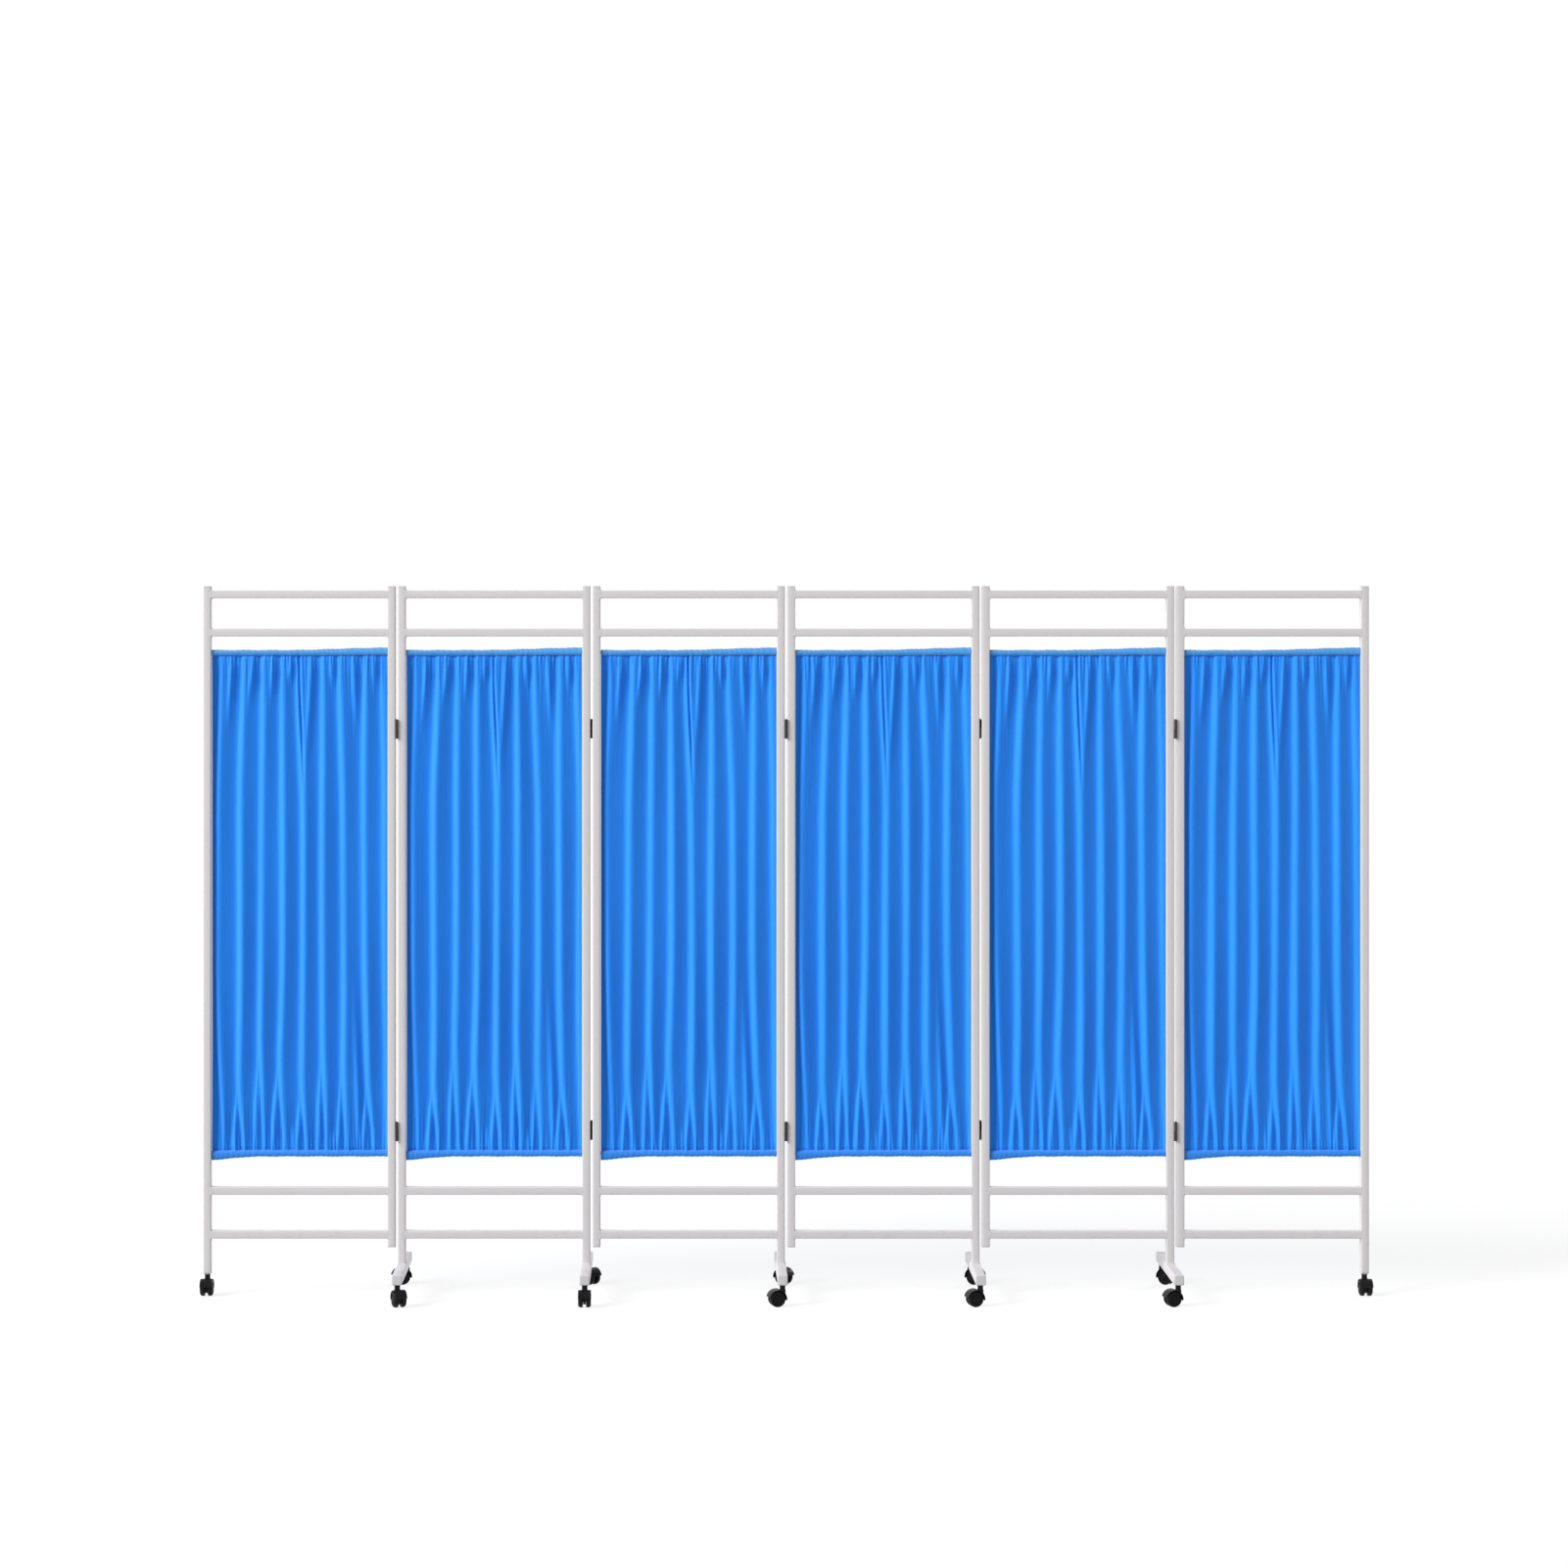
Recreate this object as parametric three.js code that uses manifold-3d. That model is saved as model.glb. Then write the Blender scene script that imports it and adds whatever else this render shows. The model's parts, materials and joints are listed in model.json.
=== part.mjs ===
// A six-panel folding ward screen on casters: steel tube frames hinged in a row, each with a
// gathered curtain on two rods, standing on cross feet and end posts with swivelling twin wheels.
//
// Millimetres, +Z up. X runs along the straight screen, -Y is its front, and the origin is on
// the floor under the middle of the screen.

import * as THREE from 'three';
import { mergeVertices } from 'three/addons/utils/BufferGeometryUtils.js';
import Module from 'manifold-3d';

const wasm = await Module();
wasm.setup();

// Screen
const panelCount = 6;
const panelWidth = 488;
const screenHeight = 1800;
const panelGap = 6;

// Posts and rails
const tubeSize = 20;
const tubeWall = 1.2;
const plugThickness = 3;
const topRailDrop = 11;
const topRailSpacing = 97;
const bottomRailHeight = 144;
const bottomRailSpacing = 111;
const shortPostDrop = 22;

// Cross feet
const footLength = 340;
const footWidth = 25;
const footHeight = 25;
const footWall = 1.5;
const stemInset = 18;

// Panel hinges
const hingeHeight = 48;
const upperHingeDrop = 363;
const lowerHingeHeight = 416;
const hingeForward = 2.5;
const barrelRadius = 3.3;
const hingePinRadius = 1.5;
const pinHeadRadius = 2.6;
const pinHeadHeight = 1.5;
const leafThickness = 1;
const leafDepth = 14;

// Curtains and their rods
const curtainDrop = 35;
const curtainRise = 79;
const curtainSideGap = 1;
const clothThickness = 2;
const sleeveRadius = 6;
const rodRadius = 4;
const rodEngagement = 5;
const rodPlay = 0.4;
const foldCount = 9;
const foldDepth = 8.5;
const gatherDepth = 2;
const upperGatherHeight = 130;
const lowerGatherHeight = 120;

// Casters
const casterHeight = 55;
const wheelRadius = 20;
const wheelWidth = 12;
const wheelSpacing = 8;
const wheelChamfer = 2;
const axleRadius = 2.5;
const webRadius = 13;
const webThickness = 6;
const hoodThickness = 2;
const hoodPlay = 1;
const neckRadius = 7;
const stemRadius = 5.5;
const stemLength = 20;
const trail = 15;

// Fits
const clearance = 0.3;
const overrun = 2;

// Counts and angles
const stemSides = 8;
const hingeSides = 6;
const rodSides = 6;
const wheelSides = 14;
const hoodSteps = 5;
const hoodStart = THREE.MathUtils.degToRad(15);
const hoodEnd = THREE.MathUtils.degToRad(185);
// Each fold's corners: how far along the fold they are, and which way they stand out.
const foldShares = [[1 / 8, 1], [3 / 8, 1], [3 / 4, -1]];

// Derived places
const pitch = panelWidth + panelGap;
const postOffset = (panelWidth - tubeSize) / 2;
const innerWidth = panelWidth - 2 * tubeSize;
const topRailZ = screenHeight - topRailDrop - tubeSize / 2;
const secondRailZ = topRailZ - topRailSpacing;
const bottomRailZ = bottomRailHeight + tubeSize / 2;
const thirdRailZ = bottomRailZ + bottomRailSpacing;
const railHeights = [topRailZ, secondRailZ, thirdRailZ, bottomRailZ];
const shortPostBottom = bottomRailHeight - shortPostDrop;
const footTop = casterHeight + footHeight;
const stemOffset = footLength / 2 - stemInset;
const curtainTop = secondRailZ - tubeSize / 2 - curtainDrop;
const curtainBottom = thirdRailZ + tubeSize / 2 + curtainRise;
const upperRodZ = curtainTop - sleeveRadius;
const lowerRodZ = curtainBottom + sleeveRadius;
const hingeHeights = { upper: screenHeight - upperHingeDrop, lower: lowerHingeHeight };
const hingeAxisY = tubeSize / 2 + hingeForward;

// Colours
const frameColour = 0xcfcaca;
const curtainColour = 0x2a86e0;
const rodColour = 0xb9bcc0;
const pinColour = 0x55565a;
const housingColour = 0x141416;
const wheelColour = 0x1b1b1d;

const frameMaterial = paint(frameColour, 0.45, 0.1);
const curtainMaterial = paint(curtainColour, 0.85, 0);
const rodMaterial = paint(rodColour, 0.3, 1);
const pinMaterial = paint(pinColour, 0.4, 1);
const housingMaterial = paint(housingColour, 0.5, 0);
const wheelMaterial = paint(wheelColour, 0.6, 0);

function paint(color, roughness, metalness) {
  return new THREE.MeshStandardMaterial({ color, roughness, metalness });
}

// Solids

function solid(geometry) {
  const bare = new THREE.BufferGeometry();
  bare.setAttribute('position', geometry.getAttribute('position'));
  bare.setIndex(geometry.getIndex());
  const merged = mergeVertices(bare);
  return new wasm.Manifold(new wasm.Mesh({
    numProp: 3,
    vertProperties: new Float32Array(merged.getAttribute('position').array),
    triVerts: new Uint32Array(merged.getIndex().array),
  }));
}

function geometryOf(shape) {
  const mesh = shape.getMesh();
  const geometry = new THREE.BufferGeometry();
  geometry.setAttribute('position', new THREE.BufferAttribute(mesh.vertProperties, 3));
  geometry.setIndex(new THREE.BufferAttribute(mesh.triVerts, 1));
  geometry.computeVertexNormals();
  return geometry;
}

function named(name, shape, material) {
  const mesh = new THREE.Mesh(geometryOf(shape), material);
  mesh.name = name;
  return mesh;
}

function box(low, high) {
  const geometry = new THREE.BoxGeometry(high[0] - low[0], high[1] - low[1], high[2] - low[2]);
  geometry.translate((low[0] + high[0]) / 2, (low[1] + high[1]) / 2, (low[2] + high[2]) / 2);
  return solid(geometry);
}

function sortedBox(one, other) {
  const low = one.map((value, axis) => Math.min(value, other[axis]));
  const high = one.map((value, axis) => Math.max(value, other[axis]));
  return box(low, high);
}

// An upright cylinder between two heights.
function column(radius, x, y, bottom, top, sides) {
  const geometry = new THREE.CylinderGeometry(radius, radius, top - bottom, sides);
  geometry.rotateX(Math.PI / 2);
  geometry.translate(x, y, (bottom + top) / 2);
  return solid(geometry);
}

// A column to cut with, whose flats clear a column of the given radius at any turn.
function bore(radius, x, y, bottom, top, sides) {
  return column((radius + clearance) / Math.cos(Math.PI / sides), x, y, bottom, top, sides);
}

// A bar along X whose flats face up, down, front and back.
function bar(radius, left, right, z) {
  const corner = radius / Math.cos(Math.PI / rodSides);
  const geometry = new THREE.CylinderGeometry(corner, corner, right - left, rodSides);
  geometry.rotateY(Math.PI / rodSides);
  geometry.rotateZ(Math.PI / 2);
  geometry.translate((left + right) / 2, 0, z);
  return solid(geometry);
}

function joined(shapes) {
  return shapes.reduce((whole, shape) => whole.add(shape));
}

// Frames: two posts and four rails of hollow tube, with any cross feet, welded together.

function postBottom(kind) {
  if (kind === 'short') return shortPostBottom;
  return kind === 'foot' ? footTop : casterHeight;
}

function postOutside(x, kind) {
  const half = tubeSize / 2;
  const bottom = kind === 'foot' ? footTop - footWall / 2 : postBottom(kind);
  return box([x - half, -half, bottom], [x + half, half, screenHeight]);
}

// The bore of a post that stands on a foot opens into the foot.
function postInside(x, kind) {
  const half = tubeSize / 2 - tubeWall;
  const bottom = kind === 'foot' ? footTop - footWall - overrun : postBottom(kind) + plugThickness;
  return box([x - half, -half, bottom], [x + half, half, screenHeight - plugThickness]);
}

function railOutside(z) {
  const half = tubeSize / 2;
  const reach = innerWidth / 2 + tubeWall / 2;
  return box([-reach, -half, z - half], [reach, half, z + half]);
}

function railInside(z) {
  const half = tubeSize / 2 - tubeWall;
  const reach = innerWidth / 2 + tubeWall + overrun;
  return box([-reach, -half, z - half], [reach, half, z + half]);
}

function footOutside(x) {
  const low = [x - footWidth / 2, -footLength / 2, casterHeight];
  return box(low, [x + footWidth / 2, footLength / 2, footTop]);
}

function footInside(x) {
  const half = footWidth / 2 - footWall;
  const reach = footLength / 2 - plugThickness;
  return box([x - half, -reach, casterHeight + footWall], [x + half, reach, footTop - footWall]);
}

function stemHoles(x, kind) {
  const top = casterHeight + plugThickness + overrun;
  const hole = (y) => bore(stemRadius, x, y, casterHeight - overrun, top, stemSides);
  if (kind === 'foot') return [hole(-stemOffset), hole(stemOffset)];
  return kind === 'end' ? [hole(0)] : [];
}

// The rods' ends sit in holes in the inner walls of the posts.
function rodHoles(side) {
  const inner = side * (innerWidth / 2 - overrun);
  const outer = side * (innerWidth / 2 + tubeWall + overrun);
  const ends = [Math.min(inner, outer), Math.max(inner, outer)];
  return [upperRodZ, lowerRodZ].map((z) => bar(rodRadius + clearance, ends[0], ends[1], z));
}

// A weld-on hinge has one barrel on each frame. The lower one is on the frame with the foot.
function barrelSpan(z, lower) {
  const half = hingeHeight / 2;
  return lower ? [z - half, z - clearance / 2] : [z + clearance / 2, z + half];
}

function hingeHalf(side, face, z, lower) {
  const [bottom, top] = barrelSpan(z, lower);
  const x = side * (panelWidth + panelGap) / 2;
  const y = face * hingeAxisY;
  const edge = side * panelWidth / 2;
  const barrel = column(barrelRadius, x, y, bottom, top, hingeSides);
  const leafInside = [edge - side * tubeWall / 2, y, bottom];
  const leafOutside = [edge + side * leafThickness, y - face * leafDepth, top];
  return barrel.add(sortedBox(leafInside, leafOutside));
}

function hingeBore(side, face, z) {
  const x = side * (panelWidth + panelGap) / 2;
  const bottom = z - hingeHeight / 2 - overrun;
  const top = z + hingeHeight / 2 + overrun;
  return bore(hingePinRadius, x, face * hingeAxisY, bottom, top, hingeSides);
}

function frameSolid(panel) {
  const outside = railHeights.map(railOutside);
  const inside = railHeights.map(railInside);
  for (const side of [-1, 1]) {
    const kind = postKind(panel, side);
    const x = side * postOffset;
    outside.push(postOutside(x, kind));
    inside.push(postInside(x, kind), ...stemHoles(x, kind), ...rodHoles(side));
    if (kind === 'foot') {
      outside.push(footOutside(x));
      inside.push(footInside(x));
    }
    const junction = side < 0 ? panel - 1 : panel;
    if (junction < 0 || junction === panelCount - 1) continue;
    for (const z of Object.values(hingeHeights)) {
      const lower = pinCarrier(junction) === panel;
      outside.push(hingeHalf(side, hingeFace(junction), z, lower));
      inside.push(hingeBore(side, hingeFace(junction), z));
    }
  }
  return joined(outside).subtract(joined(inside));
}

// Which post stands on what: the outermost posts are long and stand on a caster, the second
// panel has a foot at both posts, and the panels after it have one at the right.
function postKind(panel, side) {
  const outermost = side < 0 ? panel === 0 : panel === panelCount - 1;
  if (outermost) return 'end';
  const onFoot = side < 0 ? panel === 1 : panel > 0;
  return onFoot ? 'foot' : 'short';
}

// Junction 0 joins panels 0 and 1. The hinges lie in front and behind by turns, so that the
// screen folds like a concertina.
function hingeFace(junction) {
  return junction % 2 === 0 ? -1 : 1;
}

function pinCarrier(junction) {
  return junction === 0 ? 1 : junction;
}

function junctionX(junction) {
  return (junction + 1 - panelCount / 2) * pitch;
}

function panelX(panel) {
  return junctionX(panel) - pitch / 2;
}

// Hinge pins: a straight pin with a round head on top, dropped through both barrels.
function hingePinSolid(junction, z) {
  const x = junctionX(junction);
  const y = hingeFace(junction) * hingeAxisY;
  const bottom = z - hingeHeight / 2;
  const seat = z + hingeHeight / 2 + clearance;
  const shank = column(hingePinRadius, x, y, bottom, seat + pinHeadHeight / 2, hingeSides);
  return shank.add(column(pinHeadRadius, x, y, seat, seat + pinHeadHeight, hingeSides));
}

// Curtains: a folded sheet between two rod sleeves, drawn in where it is gathered on the rods.

function foldColumns() {
  const columns = [{ share: 0, wave: 0 }];
  for (let fold = 0; fold < foldCount; fold += 1) {
    for (const [share, wave] of foldShares) {
      columns.push({ share: (fold + share) / foldCount, wave });
    }
  }
  return [...columns, { share: 1, wave: 0 }];
}

function foldRows() {
  return [
    { z: lowerRodZ, depth: gatherDepth },
    { z: curtainBottom + lowerGatherHeight, depth: foldDepth },
    { z: curtainTop - upperGatherHeight, depth: foldDepth },
    { z: upperRodZ, depth: gatherDepth },
  ];
}

function sheetSolid() {
  const columns = foldColumns();
  const rows = foldRows();
  const width = innerWidth - 2 * curtainSideGap;
  const positions = [];
  for (const face of [-1, 1]) {
    for (const row of rows) {
      for (const { share, wave } of columns) {
        const y = row.depth * wave + face * clothThickness / 2;
        positions.push((share - 1 / 2) * width, y, row.z);
      }
    }
  }
  const across = columns.length;
  const backStart = across * rows.length;
  const index = [];
  const quad = (a, b, c, d) => index.push(a, b, c, a, c, d);
  for (let row = 0; row < rows.length - 1; row += 1) {
    for (let column = 0; column < across - 1; column += 1) {
      const at = row * across + column;
      quad(at, at + 1, at + across + 1, at + across);
      quad(backStart + at, backStart + at + across, backStart + at + across + 1, backStart + at + 1);
    }
    const left = row * across;
    const right = left + across - 1;
    quad(left, left + across, backStart + left + across, backStart + left);
    quad(right, backStart + right, backStart + right + across, right + across);
  }
  for (let column = 0; column < across - 1; column += 1) {
    const top = (rows.length - 1) * across + column;
    quad(column, backStart + column, backStart + column + 1, column + 1);
    quad(top, top + 1, backStart + top + 1, backStart + top);
  }
  const geometry = new THREE.BufferGeometry();
  geometry.setAttribute('position', new THREE.Float32BufferAttribute(positions, 3));
  geometry.setIndex(index);
  return solid(geometry);
}

function curtainSolid() {
  const half = innerWidth / 2 - curtainSideGap;
  const sleeves = [upperRodZ, lowerRodZ].map((z) => bar(sleeveRadius, -half, half, z));
  const channels = [upperRodZ, lowerRodZ].map((z) => {
    return bar(rodRadius + rodPlay, -half - overrun, half + overrun, z);
  });
  return joined([sheetSolid(), ...sleeves]).subtract(joined(channels));
}

function rodSolid(z) {
  const reach = innerWidth / 2 + rodEngagement;
  return bar(rodRadius, -reach, reach, z);
}

// Casters, drawn with the stem's axis at the origin and the wheels trailing along +X.

// The axle and both wheels turn as one. A flat of the rim is at the bottom.
function wheelsSolid() {
  const flatShare = 1 / Math.cos(Math.PI / wheelSides);
  const rim = wheelRadius * flatShare;
  const shoulder = (wheelRadius - wheelChamfer) * flatShare;
  const inner = wheelSpacing / 2;
  const outer = inner + wheelWidth;
  const half = [
    [shoulder, outer],
    [rim, outer - wheelChamfer],
    [rim, inner],
    [axleRadius, inner],
  ];
  const mirrored = half.map(([radius, along]) => [radius, -along]);
  const profile = [[0, -outer], ...mirrored, ...half.reverse(), [0, outer]];
  const points = profile.map(([radius, along]) => new THREE.Vector2(radius, along));
  const geometry = new THREE.LatheGeometry(points, wheelSides, Math.PI / wheelSides);
  geometry.translate(trail, 0, wheelRadius);
  return solid(geometry);
}

// An outline in the XZ plane around the wheels' axis, given a thickness along Y.
function slab(shape, thickness) {
  const settings = { depth: thickness, bevelEnabled: false, curveSegments: hoodSteps };
  const geometry = new THREE.ExtrudeGeometry(shape, settings);
  geometry.translate(0, 0, -thickness / 2);
  geometry.rotateX(Math.PI / 2);
  geometry.translate(trail, 0, wheelRadius);
  return solid(geometry);
}

function sector(radius, centreRadius) {
  const shape = new THREE.Shape();
  shape.absarc(0, 0, radius, hoodStart, hoodEnd, false);
  shape.absarc(0, 0, centreRadius, hoodEnd, hoodStart + 2 * Math.PI, false);
  return shape;
}

function axialCylinder(radius, width, sides) {
  const corner = radius / Math.cos(Math.PI / sides);
  const geometry = new THREE.CylinderGeometry(corner, corner, width, sides);
  geometry.rotateY(Math.PI / sides);
  geometry.translate(trail, 0, wheelRadius);
  return solid(geometry);
}

function housingSolid() {
  const hoodInner = wheelRadius / Math.cos(Math.PI / wheelSides) + hoodPlay;
  const hoodOuter = hoodInner + hoodThickness;
  const width = wheelSpacing + 2 * wheelWidth;
  const hood = slab(sector(hoodOuter, webRadius), width);
  const neckTop = casterHeight - clearance;
  const neck = column(neckRadius, 0, 0, wheelRadius, neckTop, stemSides);
  const stemTop = casterHeight + stemLength;
  const stem = column(stemRadius, 0, 0, neckTop - overrun, stemTop, stemSides);
  const wheelRoom = axialCylinder(hoodInner, width + overrun, wheelSides);
  const web = slab(sector(hoodOuter - hoodThickness / 2, webRadius), webThickness);
  const axleBore = axialCylinder(axleRadius + clearance, webThickness + overrun, stemSides);
  return hood.add(neck).subtract(wheelRoom).add(web).add(stem).subtract(axleBore);
}

// Every caster: its name, the stem's place, and the way its wheels trail, in degrees from +X.
function casterPlaces() {
  const endX = panelX(panelCount - 1) + postOffset;
  const places = [
    { name: 'left_end', x: -endX, y: 0, turn: -90 },
    { name: 'right_end', x: endX, y: 0, turn: -90 },
  ];
  const turns = [[-70, -150], [-90, -50], [-165, -40], [-165, -40], [-165, -40]];
  turns.forEach(([front, back], junction) => {
    const x = footX(junction);
    places.push({ name: `foot_${junction + 1}_front`, x, y: -stemOffset, turn: front });
    places.push({ name: `foot_${junction + 1}_back`, x, y: stemOffset, turn: back });
  });
  return places;
}

function footX(junction) {
  const side = pinCarrier(junction) === junction ? 1 : -1;
  return panelX(pinCarrier(junction)) + side * postOffset;
}

// Assembly

const screen = new THREE.Group();

for (let panel = 0; panel < panelCount; panel += 1) {
  const name = `panel_${panel + 1}`;
  const group = new THREE.Group();
  group.position.x = panelX(panel);
  group.add(named(`${name}_frame`, frameSolid(panel), frameMaterial));
  group.add(named(`${name}_curtain`, curtainSolid(), curtainMaterial));
  group.add(named(`${name}_upper_rod`, rodSolid(upperRodZ), rodMaterial));
  group.add(named(`${name}_lower_rod`, rodSolid(lowerRodZ), rodMaterial));
  screen.add(group);
}

for (let junction = 0; junction < panelCount - 1; junction += 1) {
  for (const [place, z] of Object.entries(hingeHeights)) {
    const name = `hinge_${junction + 1}_${place}_pin`;
    screen.add(named(name, hingePinSolid(junction, z), pinMaterial));
  }
}

for (const { name, x, y, turn } of casterPlaces()) {
  const group = new THREE.Group();
  group.position.set(x, y, 0);
  group.rotation.z = THREE.MathUtils.degToRad(turn);
  group.add(named(`caster_${name}_housing`, housingSolid(), housingMaterial));
  group.add(named(`caster_${name}_wheels`, wheelsSolid(), wheelMaterial));
  screen.add(group);
}

export default screen;
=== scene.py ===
"""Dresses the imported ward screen: coated tubes, gathered curtains, hinges and casters."""

import json
import math

import bmesh
import bpy
import numpy as np
from bpy.props import FloatProperty, FloatVectorProperty, IntProperty, PointerProperty
from bpy.types import Operator, Panel, PropertyGroup
from mathutils import Matrix, Vector


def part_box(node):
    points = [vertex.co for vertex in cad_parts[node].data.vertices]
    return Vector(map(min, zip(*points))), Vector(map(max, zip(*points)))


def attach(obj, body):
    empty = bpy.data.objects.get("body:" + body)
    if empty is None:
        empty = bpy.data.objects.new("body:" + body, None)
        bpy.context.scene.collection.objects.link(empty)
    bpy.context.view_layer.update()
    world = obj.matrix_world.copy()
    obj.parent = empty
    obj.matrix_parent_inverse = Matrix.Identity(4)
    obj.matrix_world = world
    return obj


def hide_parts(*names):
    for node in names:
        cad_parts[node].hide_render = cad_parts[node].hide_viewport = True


bl_info = {
    "name": "Ward Privacy Screen",
    "version": (1, 0, 0),
    "blender": (4, 5, 0),
    "location": "View3D > Sidebar > Ward Screen",
    "description": "Dresses a six-panel ward screen on casters around its packed frame",
    "category": "Object",
}

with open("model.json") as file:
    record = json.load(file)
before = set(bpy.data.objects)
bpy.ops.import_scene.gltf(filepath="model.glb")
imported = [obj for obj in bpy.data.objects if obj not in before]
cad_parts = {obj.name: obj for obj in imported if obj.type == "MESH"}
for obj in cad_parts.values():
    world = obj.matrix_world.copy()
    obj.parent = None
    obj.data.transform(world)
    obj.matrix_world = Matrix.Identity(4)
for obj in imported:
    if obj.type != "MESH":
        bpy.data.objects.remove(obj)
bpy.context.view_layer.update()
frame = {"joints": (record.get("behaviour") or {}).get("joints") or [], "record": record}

LAST_PANEL = 6
PANELS = range(1, LAST_PANEL + 1)
FRONT, BACK = -1, 1
LEFT, RIGHT = -1, 1
BODY_OF = {
    node: body
    for body, nodes in frame["record"]["behaviour"]["bodies"].items()
    for node in nodes
}
JOINTS = {joint["name"]: joint for joint in frame["joints"]}
CASTERS = [name.removeprefix("swivel_") for name in JOINTS if name.startswith("swivel_")]


# Sizes and colours


def length(name, description, default):
    return FloatProperty(
        name=name, description=description, default=default, min=0, unit="LENGTH", precision=4
    )


def colour(name, description, default):
    return FloatVectorProperty(
        name=name, description=description, default=default, subtype="COLOR", min=0, max=1
    )


def amount(name, description, default):
    return FloatProperty(name=name, description=description, default=default)


def count(name, description, default, least, most):
    return IntProperty(
        name=name, description=description, default=default, min=least, max=most
    )


class FrameSizes(PropertyGroup):
    """Tubes, plugs and welds of the panel frames."""

    tube: length("Tube", "Side of the square posts and rails", 0.020)
    tube_corner: length("Tube corner", "Radius of a tube's corners", 0.0022)
    height: length("Height", "Top of the posts above the floor", 1.8)
    top_rail: length("Top rail", "Height of the top rail's centre", 1.779)
    second_rail: length("Second rail", "Height of the second rail's centre", 1.682)
    third_rail: length("Third rail", "Height of the third rail's centre", 0.265)
    bottom_rail: length("Bottom rail", "Height of the bottom rail's centre", 0.154)
    short_post: length("Short post", "Height of the short posts' lower ends", 0.122)
    foot: length("Foot", "Side of the square cross feet", 0.025)
    foot_corner: length("Foot corner", "Radius of a foot's corners", 0.0032)
    foot_length: length("Foot length", "Length of a cross foot over its plugs", 0.340)
    foot_bottom: length("Foot bottom", "Height of the feet's undersides", 0.055)
    plug: length("Plug", "Thickness of a plug's flange", 0.003)
    plug_depth: length("Plug depth", "How far a plug reaches into its tube", 0.010)
    bead: length("Weld bead", "Radius of a weld bead", 0.0021)


class HingeSizes(PropertyGroup):
    """Weld-on hinges between the panels."""

    height: length("Height", "Height of a hinge's two barrels together", 0.048)
    barrel: length("Barrel", "Radius of a barrel", 0.0033)
    gap: length("Gap", "Gap between the two barrels", 0.0003)
    pin: length("Pin", "Radius of the pin", 0.0015)
    head: length("Pin head", "Radius of the pin's head", 0.0026)
    leaf: length("Leaf", "Thickness of a leaf", 0.001)
    leaf_depth: length("Leaf depth", "How far a leaf reaches along its post's side", 0.014)


class CurtainSizes(PropertyGroup):
    """Gathered curtains and their rods."""

    rod: length("Rod", "Radius of a curtain rod", 0.004)
    fold: length("Fold", "How far the pleats stand out from the middle", 0.0092)
    pocket: length("Pocket", "Radius of the rod pockets", 0.0058)
    upper_seam: length("Upper seam", "Drop of the seam under the upper rod", 0.0078)
    lower_seam: length("Lower seam", "Rise of the seam over the lower rod", 0.0082)
    cloth: length("Cloth", "Thickness of the cloth", 0.0007)
    side_hem: length("Side hem", "Width of the turned side hems", 0.011)
    stitch: length("Stitch", "Length of a seam stitch", 0.0030)
    stitch_gap: length("Stitch gap", "Gap between two stitches", 0.0013)
    thread: length("Thread", "Radius of the sewing thread", 0.00032)
    columns: count("Columns", "Faces across a curtain", 240, 60, 400)
    rows: count("Rows", "Faces down a curtain", 180, 40, 300)


class CasterSizes(PropertyGroup):
    """Twin-wheel casters."""

    wheel: length("Wheel", "Radius of a wheel", 0.020)
    wheel_width: length("Wheel width", "Width of one wheel", 0.012)
    spacing: length("Spacing", "Gap between the two wheels", 0.008)
    hood_inside: length("Hood inside", "Inner radius of the hood", 0.0214)
    hood_outside: length("Hood outside", "Outer radius of the hood", 0.0235)
    neck: length("Neck", "Radius of the neck", 0.007)
    stem: length("Stem", "Radius of the stem", 0.0055)
    stem_length: length("Stem length", "How far the stem reaches into its tube", 0.020)
    height: length("Height", "Height of the caster under its tube", 0.055)
    axle: length("Axle", "Radius of the axle", 0.0025)
    web: length("Web", "Radius of the web around the axle", 0.013)
    web_width: length("Web width", "Thickness of the web between the wheels", 0.006)
    play: length("Play", "Gap between the axle and its bore", 0.0003)


class ScreenColours(PropertyGroup):
    """Colours of the finishes, as they look in plain light."""

    coat: colour("Coat", "Powder coat of the frames", (0.62, 0.597, 0.603))
    plug: colour("Plugs", "Plastic plugs in the tube ends", (0.575, 0.554, 0.56))
    cloth: colour("Cloth", "Curtain cloth", (0.009, 0.247, 0.94))
    cloth_sheen: colour("Cloth sheen", "Sheen on the curtain cloth", (0.62, 0.80, 1.0))
    rod: colour("Rods", "Zinc-plated steel of the rods and stems", (0.56, 0.57, 0.58))
    hinge: colour("Hinges", "Blackened steel of the hinges", (0.030, 0.025, 0.023))
    plastic: colour("Caster plastic", "Moulded plastic of the hoods", (0.005, 0.005, 0.0055))
    rubber: colour("Wheels", "Moulded wheels", (0.006, 0.006, 0.0064))


class StageSettings(PropertyGroup):
    """Camera and light."""

    distance: length("Distance", "Camera's distance from the screen", 9.0)
    camera_height: length("Camera height", "Camera's height above the floor", 1.7)
    camera_left: length("Camera left", "How far left of the middle the camera is", 0.26)
    key: amount("Key light", "Share of white that the key light gives", 1.42)
    fill: amount("Fill light", "Share of white that the front fill gives", 0.05)
    rear: amount("Rear light", "Share of white that the rear fill gives", 0.42)
    ambient: amount("Ambient", "Share of white from all round", 0.31)


class WardScreen(PropertyGroup):
    """All of the screen's sizes and colours."""

    frames: PointerProperty(type=FrameSizes)
    hinges: PointerProperty(type=HingeSizes)
    curtains: PointerProperty(type=CurtainSizes)
    casters: PointerProperty(type=CasterSizes)
    colours: PointerProperty(type=ScreenColours)
    stage: PointerProperty(type=StageSettings)


# Places on the frame


def middle(node):
    low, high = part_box(node)
    return (low + high) / 2


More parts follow.
